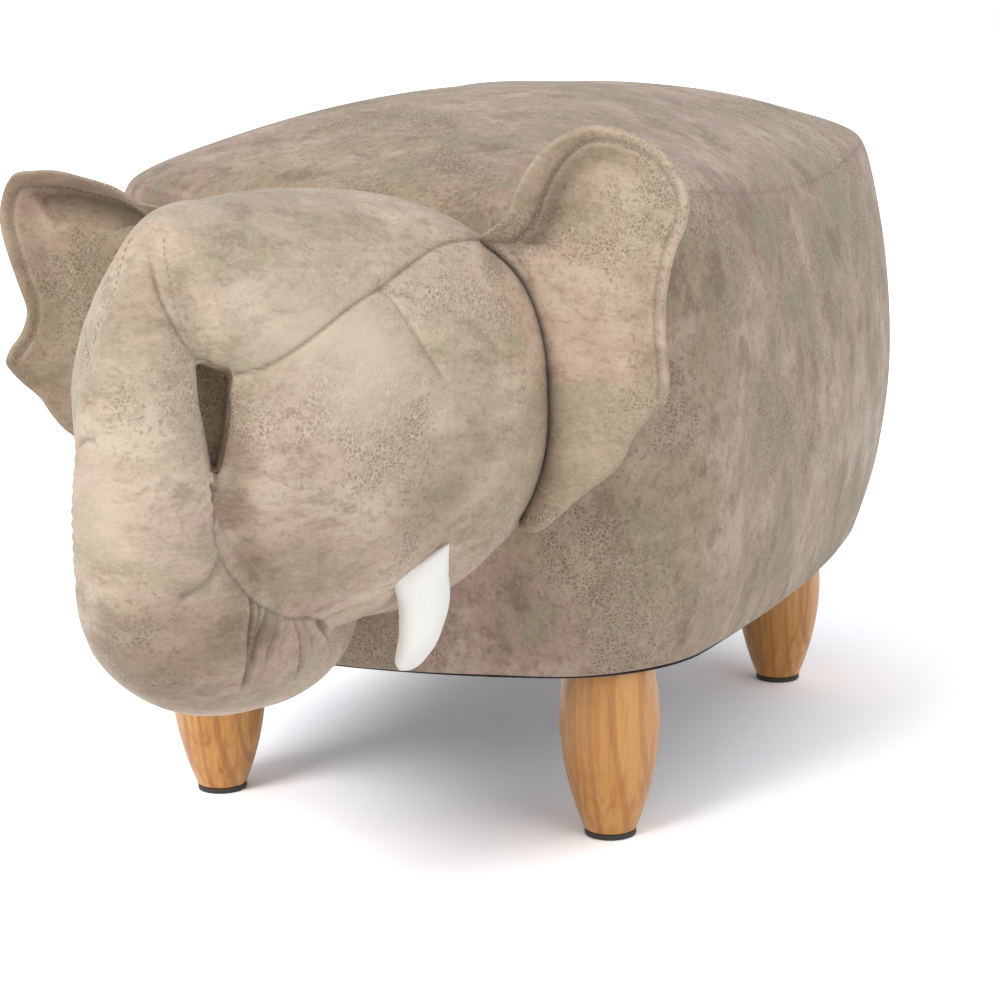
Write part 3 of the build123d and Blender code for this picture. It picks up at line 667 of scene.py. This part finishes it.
def build_band():
    rows = [body_ring(body_bottom + up, inset) for inset, up in turned_under]
    for angle in np.linspace(0.35, 1.0, 3) * math.pi / 2:
        up, inset = band_rim * (1 - math.cos(angle)), band_rim * (1 - math.sin(angle))
        rows.append(body_ring(body_bottom + up, inset))
    first = body_bottom + band_rim + band_row_step
    rows += [body_ring(height) for height in np.arange(first, seam_height - 1, band_row_step)]
    rows.append(body_ring(seam_height))
    grid = np.array(rows)
    away = seam_height - grid[..., 2]
    grid = lifted(grid, ease(230, seam_height, grid[..., 2]))
    faces = grid_faces(*grid.shape[:2])
    sew_body_piece("side_cover_sewn", grid, away, faces, ("side_cover", "side_foam"))


def build_crown():
    rise = seat_height - seam_height
    shares = 1 - 0.985 * np.linspace(0, 1, crown_rows) ** 1.5
    rows = []
    for share in shares:
        ring = soft_oval(seam_half_width * share, seam_half_length * share)
        ahead = -ring[:, 1] / seam_half_length
        shoulder = crown_shoulder + crown_front_shoulder * ease(0.2, 1, ahead)
        full = 1 - (1 - shoulder) * share**crown_roundness - shoulder * share**crown_edge_roundness
        height = seam_height + rise * full * (1 + crown_rear_rise * ease(0, 1, -ahead))
        rows.append(ring_at(ring, height))
    grid = lifted(np.array(rows), (shares**5)[:, None])
    away = np.linalg.norm(grid - grid[:1], axis=2)
    count = grid.shape[1]
    faces = np.vstack([grid_faces(*grid.shape[:2]), across_ring((crown_rows - 1) * count, count)])
    sew_body_piece("seat_cover_sewn", grid, away, faces, ("seat_cover", "seat_foam"))


build_band()
build_crown()


# Head and trunk: one field of signed distances, cut into its sewn panels
head_ahead = (-45, -19, 0, 20, 60, 100, 134, 150, 160, 166, 170)
head_half_width = (98, 109, 113, 113, 104, 86, 65, 51, 40, 28, 8)
head_top = (322, 331, 337, 341, 343, 344, 344, 341, 336, 328, 306)
head_bottom = (146, 140, 138, 134, 138, 143, 150, 162, 178, 196, 220)
head_square_up = (2.5, 2.5, 2.5, 2.4, 2.1, 1.85, 1.8, 1.8, 1.8, 1.9, 2.0)
head_square_down = 2.25
trunk_pivot_ahead = 119.5
trunk_pivot_height = 225.0
trunk_angle = (-150, -133, -121, -104, -85, -60, -42, -27, -12, 9, 29, 45, 57, 67, 80)
trunk_outer = (160, 154, 139, 122.5, 114, 112, 108.5, 103, 98.5, 97.5, 107, 107, 108.5, 110, 106)
trunk_inner = (55, 48, 44, 39, 35, 33, 33, 35, 37, 39, 41, 43, 45, 48, 60)
trunk_half = (20, 25, 32.5, 42, 45, 44, 39.5, 34.5, 31, 28, 24, 22.5, 20, 15, 8)
trunk_square = 2.0
field_step = 1.25
bury = 1.0
slot_height = (225, 232, 241, 252, 262, 276)
slot_inner = (20.6, 19.8, 17.9, 16.0, 14.0, 13.4)
slot_outer = (20.7, 21.2, 23.6, 25.7, 27.7, 29.6)
slot_ahead = 161.0
slot_back = 148.0
slot_slant = (0.555, 0.195)
slot_top = 279.0
slot_top_slope = 0.33
slot_wall_slope = 0.86
slot_rounding = 1.5
cheek_rounding = 7.0
trunk_fillet = 2.0
brow_fillet = 26.0


def front_of_body(x, z):
    """Where the front of the body lies behind its foremost point."""
    ring = soft_oval(1.0, body_half_length / body_half_width)
    front = ring[ring[:, 1] < 0]
    front = front[np.argsort(front[:, 0])]
    half_x, half_y = half_sizes(z)
    reach = np.interp(np.abs(x) / half_x, front[:, 0], -front[:, 1] * body_half_width / body_half_length)
    return body_half_length - half_y * reach


def head_field(x, y, z):
    half_x, top, bottom = smooth_curves(-y, head_ahead, head_half_width, head_top, head_bottom)
    above = smooth_curve(-y, head_ahead, head_square_up)
    half_z = (top - bottom) / 2
    upward = (z - (top + bottom) / 2) / half_z
    below = head_square_down + 0.5 * ease(60, 100, -y)
    square = below + (above - below) * ease(-0.3, 0.3, upward)
    total = np.abs(x / half_x) ** square + np.abs(upward) ** square
    field = (total ** (1 / square) - 1) * np.minimum(half_x, half_z)
    return np.maximum(field, -y - head_ahead[-1])


def trunk_field(x, y, z):
    ahead, up = -y - trunk_pivot_ahead, z - trunk_pivot_height
    angle = np.degrees(np.arctan2(up, ahead))
    radius = np.hypot(ahead, up)
    outer, inner, half_x = smooth_curves(angle, trunk_angle, trunk_outer, trunk_inner, trunk_half)
    half_r = (outer - inner) / 2
    across = np.abs(x / half_x) ** trunk_square
    along = np.abs((radius - (outer + inner) / 2) / half_r) ** trunk_square
    field = ((across + along) ** (1 / trunk_square) - 1) * np.minimum(half_x, half_r)
    past = np.maximum(angle - trunk_angle[-1], trunk_angle[0] - angle) * np.radians(1) * radius
    return np.maximum(field, past)


def slot_cut(field, x, y, z):
    """The field with the wedge-shaped hollow between the trunk and each cheek cut out."""
    gone = slot_ahead + y
    across, up = np.abs(x) + slot_slant[0] * gone, z + slot_slant[1] * gone
    inner, outer = smooth_curves(up, slot_height, slot_inner, slot_outer)
    wide = slot_wall_slope * np.maximum(inner - across, across - outer)
    over = up - slot_top + slot_top_slope * (across - slot_inner[-1])
    slot = np.maximum(np.maximum(wide, over), np.maximum(slot_back + y, slot_height[0] - up))
    cheek_side = ease(inner, outer, across) * ease(226, 238, up) * (1 - ease(252, 266, up))
    rounding = slot_rounding + cheek_rounding * cheek_side
    return -soft_union(-field, slot, rounding)


def even_field(field, step):
    """A field whose values are about distances near its surface."""
    slopes = np.gradient(field, step)
    steep = np.sqrt(sum(slope**2 for slope in slopes))
    return field / np.maximum(steep, 0.35)


def soft_union(first, second, radius):
    """Union of two fields, with a fillet of the given radius between them."""
    share = np.clip(0.5 + 0.5 * (second - first) / radius, 0, 1)
    return second * (1 - share) + first * share - radius * share * (1 - share)


def head_mesh():
    step = field_step
    low, high = np.array([-118.0, -230.0, 88.0]), np.array([118.0, 44.0, 352.0])
    axes = [np.arange(a, b, step) for a, b in zip(low, high)]
    x, y, z = np.meshgrid(*axes, indexing="ij")
    head = even_field(head_field(x, y, z), step)
    trunk = even_field(trunk_field(x, y, z), step)
    fillet = trunk_fillet + brow_fillet * ease(271, 285, z) * ease(110, 150, -y)
    field = slot_cut(soft_union(head, trunk, fillet), x, y, z)
    field = np.maximum(field, y - front_of_body(x, z) - bury)
    grid = openvdb.FloatGrid(10.0)
    grid.copyFromArray(field.astype(np.float32))
    points, quads = grid.convertToQuads(isovalue=0.0)
    points = points.astype(float) * step + low
    quads = quads.astype(int)
    points = relax(points, quads, 4)
    cap = ease(276, 288, points[:, 2]) * ease(90, 125, -points[:, 1])
    points = relax(points, quads, 70, keep=1 - cap)
    normals = face_normals(points, quads)
    middle = np.array([0, -80, 230])
    if np.mean(np.sum(normals * (points - middle), axis=1)) < 0:
        quads = quads[:, ::-1]
    return points, quads


# Seams and folds of the head, as points (from the middle, ahead, up). A line is
# on both sides, unless it crosses the middle. Its relief gives its grooves as
# depth and width, and how dark and how wide the painted shade along it is.
cap_near = ((31, 161, 274), (25.6, 167.5, 277), (22.4, 173.7, 280.8), (20.2, 181.9, 290.3),
            (16.1, 184, 298.5), (9.5, 182.4, 309.4), (2.7, 176.1, 322), (-3, 168, 332))
cap_far = ((-31, 161, 274), (-30, 177, 282), (-28.5, 182, 291), (-26, 184, 299), (-21, 181, 310),
           (-11, 173, 323), (-3, 168, 332))
cap_front = cap_near + cap_far[-2::-1]
cap_side = ((31, 161, 274), (38, 158.6, 275), (45, 152, 277.5), (54, 137, 285), (63, 110, 297.5),
            (68, 90, 303.7), (73, 60, 313), (76, 42, 318), (80, 20, 319), (82, -8, 316))
cheek_front = ((31, 161, 274), (27.7, 161.5, 262), (25.5, 162, 252), (23.5, 163, 241), (21.5, 165, 228),
               (24, 169, 218), (30, 180, 210), (33.5, 178.2, 194.2), (39.6, 167.4, 176.7))
chin_line = ((39.6, 167.4, 176.7), (42.5, 157.6, 170.6), (43.6, 136, 161.5), (44.5, 115, 159),
             (49.5, 109.5, 161.5), (59, 98, 165), (70.5, 84, 169.4), (88, 66, 182))
chin_rear = ((98, 30, 184), (98, -8, 180))
dart = ((70, 88.6, 305), (80.5, 87.4, 289.6), (89, 83.5, 273.7), (93, 80, 264))
cheek_crease = ((70, 88.6, 305), (83, 74, 297), (96, 54.5, 286), (106, 42, 271))
trunk_crease = ((33.5, 182.5, 197), (33, 190, 190.6), (26, 201, 185))
brow_fold = ((-18, 209, 249), (-12, 213, 252), (-6, 215, 253))
cheek_hollow = ((35, 162.8, 256), (33.8, 163.2, 244), (32.7, 163.7, 233), (30.5, 165, 222))
cap_stitches = ((5, 169, 331.5), (8.5, 174, 321.4), (14.5, 180, 309.3), (18.5, 182.2, 303), (24, 182, 292.6))
far_stitch_shift = 9.0
seam_grooves = ((0.8, 5.5), (1.0, 1.3))
relief_lines = (
    (cap_front, seam_grooves, 0.5, 0.8),
    (cap_side, seam_grooves, 0.5, 0.8),
    (cheek_front, seam_grooves, 0.45, 0.8),
    (chin_line, seam_grooves, 0.5, 0.8),
    (dart, ((0.7, 4.0), (0.6, 1.2)), 0.34, 0.9),
    (cheek_crease, ((1.7, 4.0),), 0.12, 2.0),
    (trunk_crease, ((2.4, 2.6),), 0.3, 1.3),
    (brow_fold, ((1.9, 1.4),), 0.45, 0.9),
    (cheek_hollow, ((3.6, 7.5),), 0.0, 1.0),
)

# Gathers under the chin: depth, share of the length at full depth, and line
pleats = (
    (2.4, 0.8, ((39.6, 167.4, 176.7), (39.4, 172, 160.5), (30.8, 163.4, 134.2))),
    (1.6, 0.6, ((40.6, 163.5, 173.5), (41, 170, 160), (34.5, 165.5, 139.5))),
    (2.2, 0.7, ((41.6, 159.7, 170.1), (42.2, 168.1, 159.8), (38, 166.9, 145.2))),
    (1.7, 0.6, ((43, 149.4, 165.5), (44.1, 159.1, 154.5), (42, 158, 142))),
    (1.2, 0.4, ((43.3, 143, 163), (44, 149, 153), (42.5, 148, 141))),
    (2.2, 0.7, ((43, 135.4, 159.8), (43.5, 133, 150), (42.7, 130.4, 140.6), (38, 127, 128))),
    (1.2, 0.4, ((43.3, 126, 159.4), (43, 121, 149), (40, 115, 137))),
    (2.3, 0.7, ((43.7, 115, 158), (40, 102, 146), (34, 88, 131))),
)
pleat_width = 1.4
pleat_lip = 2.8
pleat_shade = 0.32
trunk_ripple = 0.55
trunk_ripple_pitch = 5.6
head_unevenness = 1.0

# Areas of painted shade and painted light on the head, with some of the leather's own uneven tone:
# middle, reach, and how much browner (above 0) or paler. The lower trunk and the chin are browner as well.
painted_light_and_shade_areas = (
    # painted shade inside the wedge-shaped recess between the trunk and the cheek
    ((20, 155, 264), 13, 0.9),
    ((20, 158, 242), 9, 0.8),
    # painted shadow of the trunk on the cheek beside the recess
    ((34, 163, 240), 11, 0.35),
    ((4, 186, 306), 24, 0.5),
    # painted light on the upper cheek
    ((66, 110, 272), 34, -0.9),
    ((30, 150, 300), 28, -0.35),
    ((-4, 216, 218), 32, -0.6),
    ((10, 204, 158), 46, 1.0),
    ((36, 140, 140), 30, 0.4),
    ((6, 90, 344), 60, 0.55),
    ((50, 145, 196), 34, 0.55),
    ((92, 70, 215), 46, 0.65),
)


class Surface:
    """Nearest points on a mesh, for laying seams and stitches on it."""

    def __init__(self, points, normals):
        self.points, self.normals = points, normals
        self.tree = KDTree(len(points))
        for k, point in enumerate(points):
            self.tree.insert(point, k)
        self.tree.balance()

    def lay(self, path):
        """The path laid on the mesh, and the normals there."""
        near = [self.tree.find(point)[1] for point in path]
        normals = unit(self.normals[near])
        off = np.sum((path - self.points[near]) * normals, axis=1, keepdims=True)
        return path - off * normals, normals

    def distance(self, points):
        return np.array([self.tree.find(point)[2] for point in points])


def line_on(surface, knots, step=0.8):
    path, _ = surface.lay(spaced(through(at(knots)), step))
    return path


def line_shade(knots, dark, points):
    """How dark a line's painted shade is, where it fades out or deepens along its way."""
    half, up = np.abs(points[:, 0]), points[:, 2]
    if knots is chin_line:
        return dark * (1 - 0.7 * ease(46, 60, half))
    if knots is cap_front:
        return dark * (1 - ease(316, 328, up))
    # Below the wedge-shaped recess the cheek's front seam darkens further, as painted shade that carries the
    # recess's dark tip down.
    if knots is cheek_front:
        return dark + 0.4 * ease(206, 214, up) * (1 - ease(228, 234, up))
    return dark


def head_relief(points, surface):
    """Height of seams, darts, folds and gathers over the smooth head, and the painted shade in them."""
    folded = points.copy()
    folded[:, 0] = np.abs(folded[:, 0])
    height = np.zeros(len(points))
    shade = np.zeros(len(points))
    for knots, grooves, dark, width in relief_lines:
        crosses = min(knot[0] for knot in knots) < 0
        away, _ = distance_to(points if crosses else folded, line_on(surface, knots))
        height += grooved(away, grooves)
        shade = np.maximum(shade, line_shade(knots, dark, points) * bell(away, width))
    for depth, reach, knots in pleats:
        path = line_on(surface, knots)
        away, place = distance_to(folded, path)
        depth = depth * (1 - ease(reach, 1.0, place / len(path)))
        height += depth * (0.5 * bell(away - pleat_lip, 1.5) - bell(away, pleat_width))
        shade = np.maximum(shade, pleat_shade * depth * bell(away, 0.8))
    side = ease(15, 26, folded[:, 0]) * ease(160, 176, -points[:, 1])
    level = ease(188, 204, points[:, 2]) * (1 - ease(250, 266, points[:, 2]))
    wave = points[:, 2] * 2 * math.pi / trunk_ripple_pitch + 2.5 * drift(points, 30.0, 11)
    height += trunk_ripple * side * level * np.sin(wave) * (0.6 + 0.4 * drift(points, 18.0, 12))
    return height, shade


def head_panels(middle):
    """Which panel each face of the head belongs to: 0 cap, 1 and 2 cheeks, 3 trunk."""
    half, ahead, up = np.abs(middle[:, 0]), -middle[:, 1], middle[:, 2]
    side = np.array(cap_side)[::-1]
    cheek, chin = np.array(cheek_front), np.array(chin_line + chin_rear)[::-1]
    over = up > np.interp(ahead, side[:, 1], side[:, 2])
    tongue = (ahead > 150) & (up > cheek[0, 2])
    for sign, knots in ((1, np.array(cap_near)), (-1, np.array(cap_far))):
        tongue &= sign * middle[:, 0] < np.interp(up, knots[:, 2], np.abs(knots[:, 0]))
    past = (ahead > 150) & (up <= cheek[0, 2]) & (half < np.interp(up, cheek[::-1, 2], cheek[::-1, 0]))
    below = up < np.interp(ahead, chin[:, 1], chin[:, 2])
    panel = np.where(middle[:, 0] > 0, 1, 2)
    panel[over & (up > cheek[0, 2] - 2)] = 0
    panel[tongue | past | (below & (up < 190))] = 3
    panel[(ahead > 180) & (up < cheek[0, 2])] = 3
    return panel


stitch_pitch = 3.5
stitch_length = 2.2
stitch_radius = 0.32
stitch_sides = 6


def stitch_row(name, path, normals):
    """A row of sewn stitches lying along a path on the head's leather."""
    seats = spaced(path, stitch_pitch)
    ahead = unit(np.gradient(seats, axis=0))
    nearest = [np.argmin(np.sum((path - seat) ** 2, axis=1)) for seat in seats]
    across = unit(np.cross(ahead, normals[nearest]))
    up = np.cross(across, ahead)
    lengthwise = np.linspace(-1, 1, stitch_sides)
    girth = np.sqrt(np.maximum(1 - lengthwise**4, 0.02)) * stitch_radius
    angle = np.linspace(0, 2 * math.pi, stitch_sides, endpoint=False)
    points, faces = [], []
    for seat, a, b, c in zip(seats, ahead, across, up):
        ring = np.cos(angle)[None, :, None] * b + np.sin(angle)[None, :, None] * c
        middle = seat + c * 0.12 + lengthwise[:, None, None] * a * stitch_length / 2
        faces.append(grid_faces(stitch_sides, stitch_sides) + stitch_sides**2 * len(points))
        points.append((middle + girth[:, None, None] * ring).reshape(-1, 3))
    mesh_piece(name, np.vstack(points), np.vstack(faces), "head_leather", look="sewing_thread")


def head_painted_light_and_shade(points):
    """Painted light (paler, below 0) and painted shade (browner, above 0) on the head's leather, with some
    of its own tone.
    """
    tone = np.zeros(len(points))
    for middle, reach, amount in painted_light_and_shade_areas:
        away = np.linalg.norm(points - at(middle), axis=1) + 0.35 * reach * drift(points, 16.0, 51)
        tone += amount * bell(away, reach)
    return np.clip(tone, -1, 1)


def build_head():
    points, quads = head_mesh()
    normals = face_normals(points, quads)
    surface = Surface(points, normals)
    height, shade = head_relief(points, surface)
    points = points + normals * height[:, None]
    points = settle(points, normals, 21, head_unevenness)
    panel = head_panels(points[quads].mean(1))
    stands_for = (("forehead_panel", "head_stuffing", "head_back_panel"), ("left_cheek_panel",),
                  ("right_cheek_panel",), ("trunk_cover", "trunk_stuffing"))
    for number, nodes in enumerate(stands_for):
        faces = quads[panel == number]
        used, renumbered = np.unique(faces, return_inverse=True)
        faces = renumbered.reshape(-1, 4)
        piece = mesh_piece(nodes[0] + "_sewn", points[used], faces, "head_leather", nodes)
        # Painted shade in the seams, darts, creases and pleats.
        mark(piece, "groove_shade", shade[used])
        # Painted light and shade over wide areas of the head, with some of the leather's own tone.
        mark(piece, "tone", head_painted_light_and_shade(points[used]))
    surface = Surface(points, face_normals(points, quads))
    for side, shift, name in ((1, 0, "left"), (-1, far_stitch_shift, "right")):
        path = (through(at(cap_stitches)) + (shift, 0, 0)) * (side, 1, 1)
        path, up = surface.lay(spaced(path, 1.0))
        stitch_row(name + "_forehead_stitches", path, up)
    return surface


head_surface = build_head()


# Ears: stuffed sheets with a rounded rim, a topstitched border and a lip that
# turns forward. The points are (from the middle, up, how far the lip turns).
ear_seam = (
    (130, 196, 0), (117, 184, 0), (107, 177, 0), (97, 179, 0), (104, 195, 0), (110, 215, 0),
    (112, 240, 0), (110, 268, 0), (101, 295, 0),
)
left_ear = (
    (84, 318, 12), (91, 323, 14), (100, 330, 15), (105, 342, 15), (111, 353, 14), (119, 362, 12),
    (128, 368, 9), (138, 371, 7), (151, 370, 5), (164, 366, 4), (174, 361, 3.5), (181, 354, 3),
    (187, 345, 3), (189, 336, 3), (186.5, 325, 3), (182, 316, 3), (179, 305, 3), (177, 293, 3),
    (176.5, 279, 3), (178, 262, 3), (178.5, 251, 3), (176, 244.5, 2), (169, 239, 0), (159, 228, 0),
    (149, 211, 0), *ear_seam, (92, 309, 6),
)
right_ear = (
    (76, 330, 20), (90, 334, 22), (106, 341, 22), (123, 345, 20), (138, 348, 17), (150, 348, 14),
    (160, 347, 11), (166, 344, 7), (170.5, 338, 4), (173.5, 328, 3), (173.5, 317, 3), (171, 304, 3),
    (167, 289, 3), (164, 278, 3), (165, 271, 3), (168, 264, 3), (173, 257, 3), (176, 250, 2),
    (174, 245, 1), (169.5, 239, 0), (161, 231, 0), (156, 223, 0), (150, 215, 0), (143, 209, 0),
    *ear_seam, (86, 315, 8),
)
ear_root, ear_reach = 70.0, 114.0
ear_middle = (131, 272)
ear_rim_radius = 3.2
ear_lip_width = 17.0
ear_padding = 2.4
ear_hem = 5.0
ear_hem_groove = ((1.3, 1.5),)
ear_gap_push = 5.0
ear_unevenness = 1.3
ear_cup_start, ear_cup_dip, ear_cup_rise = 9, 33, 38


def ear_cup(half):
    """How far the middle of an ear's thickness lies ahead of the body."""
    share = (half - ear_root) / ear_reach
    return ear_cup_start - ear_cup_dip * share + ear_cup_rise * share**2


def build_ear(name, side, knots, lean, tone, stitched):
    outline = spaced(through(knots, closed=True), 1.8, closed=True)
    outline = outline[: len(outline) // 2 * 2]
    rim, lip = outline[:, :2], outline[:, 2]
    inward = np.concatenate([np.linspace(0, 0.2, 20), np.linspace(0.2, 0.98, 42)[1:]])
    grid = rim + inward[:, None, None] * (np.array(ear_middle) - rim)
    flat = grid.reshape(-1, 2)
    away, place = distance_to(flat, rim)
    lip = lip[place.astype(int)]
    sewn = np.clip(lip / 2, 0, 1)
    turned = lip * np.clip(1 - away / ear_lip_width, 0, 1) ** 1.4
    ahead = ear_cup(flat[:, 0]) + lean * ease(110, 180, flat[:, 0]) + turned
    ahead += ear_unevenness * drift(np.column_stack([flat, away]), 42.0, 5 if side > 0 else 9)
    ahead -= 0.45 * lip * bell(away - ear_lip_width, 8)
    gap = head_surface.distance(np.column_stack([side * flat[:, 0], -ahead, flat[:, 1]]))
    ahead -= ear_gap_push * bell(gap, 7)
    inset = ear_hem + 0.3 * lip
    edge = ear_rim_radius * np.sqrt(np.maximum(1 - (1 - np.minimum(away / ear_rim_radius, 1)) ** 2, 0))
    body = edge + sewn * grooved(away - inset, ear_hem_groove) + ear_padding * ease(9, 34, away)
    # Painted shade: in the topstitched hem groove, in the hollow under the turned lip, and in the slit where
    # the ear meets the head.
    shade = (0.14 + 0.03 * lip) * sewn * bell(away - inset, 1.1)
    shade = np.maximum(shade, 0.022 * lip * bell(away - ear_lip_width + 2, 5))
    shade = np.maximum(shade, 0.85 * bell(gap, 3.2))
    skins = [np.column_stack([side * flat[:, 0], -(ahead + way * body), flat[:, 1]]) for way in (1, -1)]
    count = len(rim)
    faces = np.vstack([grid_faces(len(inward), count), across_ring(len(flat) - count, count)])
    back = faces[:, ::-1] + len(flat)
    if side > 0:
        faces, back = faces[:, ::-1], back[:, ::-1]
    faces = np.vstack([faces, back])
    faces = np.where((faces >= len(flat)) & (faces < len(flat) + count), faces - len(flat), faces)
    used, faces = np.unique(faces, return_inverse=True)
    nodes = [name + part for part in ("_ear_front", "_ear_back", "_ear_pad")]
    points, faces = np.vstack(skins)[used], faces.reshape(-1, 4)
    piece = mesh_piece(name + "_ear_sewn", points, faces, "head_leather", nodes)
    mark(piece, "groove_shade", np.tile(shade, 2)[used])
    # A browner tone over the whole ear; on the far ear it is mostly painted shade.
    mark(piece, "tone", np.full(len(used), tone))
    surface = Surface(points[: len(flat)], face_normals(points, faces)[: len(flat)])
    strips, insets = away.reshape(-1, count), inset.reshape(-1, count)[0]
    places = np.arange(*stitched)
    share = np.array([np.interp(insets[k], strips[:30, k], inward[:30]) for k in places])
    row = rim[places] + share[:, None] * (np.array(ear_middle) - rim[places])
    depth = [np.argmin(np.sum((flat - point) ** 2, axis=1)) for point in row]
    path, up = surface.lay(np.column_stack([side * row[:, 0], skins[0][depth, 1], row[:, 1]]))
    stitch_row(name + "_ear_stitches", path, up)


# Both ears are browned by their tone; the far right ear's larger share is painted shade, as it turns away
# from the key under its turned lip.
build_ear("left", 1, left_ear, 0.0, 0.42, (4, 138))
build_ear("right", -1, right_ear, 7.0, 0.68, (2, 150))


# Tusks: stuffed felt horns, sewn to the lower edge of the cheeks
tusk_path = ((81.3, 81, 178.4), (80.6, 79, 169), (79.9, 76, 158.7), (77.9, 76, 143.4), (73.8, 76, 134),
             (70.5, 76, 128.5), (67.3, 76, 124.8))
tusk_half_width = (15.3, 13.4, 12.1, 9.6, 7.4, 5.4, 1.0)
tusk_half_depth = (2.0, 7.0, 9.0, 8.6, 7.0, 5.0, 1.0)
tusk_slant = (0.44, 0.3, 0.1, 0.0, 0.0, 0.0, 0.0)
tusk_wide_way = (0.67, 0.65)
tusk_unevenness = 0.5
tusk_sides = 48
tusk_boxiness = 0.85


def build_tusk(name, side):
    path = through(at(tusk_path), 8)
    place = np.linspace(0, len(tusk_path) - 1, len(path))
    knots = range(len(tusk_path))
    wide, deep, slant = smooth_curves(place, knots, tusk_half_width, tusk_half_depth, tusk_slant)
    wide_way = unit(np.column_stack([np.tile(tusk_wide_way, (len(path), 1)), slant]))
    deep_way = unit(np.cross(np.gradient(path, axis=0), wide_way))
    angle = np.linspace(0, 2 * math.pi, tusk_sides, endpoint=False)
    ring_x, ring_y = [np.sign(k) * np.abs(k) ** tusk_boxiness for k in (np.cos(angle), np.sin(angle))]
    grid = path[:, None] + wide[:, None, None] * ring_x[None, :, None] * wide_way[:, None]
    grid = grid + deep[:, None, None] * ring_y[None, :, None] * deep_way[:, None]
    points = grid.reshape(-1, 3)
    outward = unit(points - points.mean(0))
    points = points + tusk_unevenness * drift(points, 12.0, 31)[:, None] * outward
    points = points * (side, 1, 1)
    caps = [across_ring(0, tusk_sides)[:, ::-1], across_ring(len(points) - tusk_sides, tusk_sides)]
    faces = np.vstack([grid_faces(len(path), tusk_sides)] + caps)
    if side < 0:
        faces = faces[:, ::-1]
    mesh_piece(name + "_tusk_sewn", points, faces, "tusk_felt", (name + "_tusk",))


build_tusk("left", 1)
build_tusk("right", -1)


# Tail: a sewn cord, and a tuft of suede strips
tail_low, tail_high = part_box("tail")
tuft_low, tuft_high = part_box("tail_tuft")
tail_root_radius = 6.2
tail_taper = 1.8
tail_sway = 2.5
tail_groove = 0.9
tail_sides, tail_rows = 20, 90
tuft_strips, strip_rows = 26, 14
tuft_spread = 7.0
tuft_heart = 2.5
strip_half_width = 1.7
strip_half_thickness = 0.5


def build_tail():
    """The cord's mesh. Its path is given back, as the tuft hangs from its end."""
    top, bottom = tail_high.z / MM, tail_low.z / MM - 4
    height = np.linspace(top, bottom, tail_rows)
    share = (top - height) / (top - bottom)
    rear = body_half_length + half_sizes(height)[1]
    radius = tail_root_radius - tail_taper * share
    radius = radius * np.sqrt(np.clip(1 - (1 - np.clip(share / 0.06, 0, 1)) ** 2, 0.02, 1))
    path = np.column_stack([tail_sway * np.sin(share * 3.4), rear + 6.3 + 1.2 * share, height])
    ahead = unit(np.gradient(path, axis=0))
    across = unit(np.cross(ahead, (0, 1, 0.2)))
    up = np.cross(across, ahead)
    angle = np.linspace(0, 2 * math.pi, tail_sides, endpoint=False)
    ring = np.cos(angle)[:, None] * across[:, None] + np.sin(angle)[:, None] * up[:, None]
    groove = bell(angle - math.pi, 0.25)
    twist = np.sin(height * 1.1)[:, None] * 0.18
    grid = path[:, None] + (radius[:, None] + twist - tail_groove * groove)[..., None] * ring
    faces = grid_faces(tail_rows, tail_sides)
    piece = mesh_piece("tail_sewn", grid.reshape(-1, 3), faces, "body_leather", ("tail",))
    # Painted shade in the cord's sewn groove.
    mark(piece, "groove_shade", np.tile(0.5 * groove, len(height)))
    return path


def build_tuft(root):
    top, bottom = tuft_high.z / MM, tuft_low.z / MM
    random = np.random.RandomState(8)
    along = np.linspace(0, 1, strip_rows)
    narrow = (1 - 0.75 * along**3)[:, None, None]
    points, faces = [], []
    for k in range(tuft_strips):
        turn = k * 2.4
        spread_out = (0.35 + 0.65 * math.sqrt(k / tuft_strips)) * tuft_spread
        length = (top - bottom) * random.uniform(0.86, 1.0)
        out = tuft_heart + (spread_out - tuft_heart) * np.sin(along * 2.2) ** 1.2
        outward = np.array([math.cos(turn), math.sin(turn), 0])
        centre = out[:, None] * outward + (root[0], root[1], 0)
        centre[:, 2] = top + 3 - along * (length + 3)
        wide = np.array([-math.sin(turn), math.cos(turn), 0]) * strip_half_width
        thick = outward * strip_half_thickness
        corner = np.array([wide + thick, wide - thick, -wide - thick, -wide + thick]) * narrow
        points.append((centre[:, None] + corner).reshape(-1, 3))
        faces.append(grid_faces(strip_rows, 4) + 4 * strip_rows * k)
    points, faces = np.vstack(points), np.vstack(faces)
    mesh_piece("tail_tuft_strips", points, faces, "tuft_suede", ("tail_tuft",))


build_tuft(build_tail()[-1])


# Dust cover: a thin black cloth stretched under the body

def build_dust_cover():
    low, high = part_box("dust_cover")
    half_x, half_y = (high.x - low.x) / 2 / MM, (high.y - low.y) / 2 / MM
    bottom, top = low.z / MM, high.z / MM
    places = [(0.02, top), (1, top)] + [(share, bottom) for share in np.linspace(1, 0.02, 24)]
    grid = np.array([ring_at(soft_oval(half_x * share, half_y * share), height) for share, height in places])
    lower = np.arange(len(places)) >= 3
    sag = 0.25 * drift(grid.reshape(-1, 3), 60.0, 41).reshape(grid.shape[:2]) * lower[:, None]
    grid[..., 2] += sag
    faces = grid_faces(*grid.shape[:2])
    cloth = mesh_piece("dust_cover_cloth", grid.reshape(-1, 3), faces, "dust_cloth", ("dust_cover",))


build_dust_cover()


# Rigid solids keep their shape and get a finish each
finishes = (
    (("_leg",), "leg_wood"),
    (("_glide",), "glide_plastic"),
    (("_post", "front_rail"), "frame_timber"),
    (("_board", "side_wall", "head_plate"), "plywood"),
    (("staples", "screws", "nails", "bolts", "nuts"), "zinc_steel"),
    (("_foam",), "foam"),
    (("_stuffing", "_pad", "_back_panel"), "fibre_stuffing"),
)
for name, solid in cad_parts.items():
    for endings, look in finishes:
        if name.endswith(endings):
            solid.data.materials.clear()
            solid.data.materials.append(looks[look])
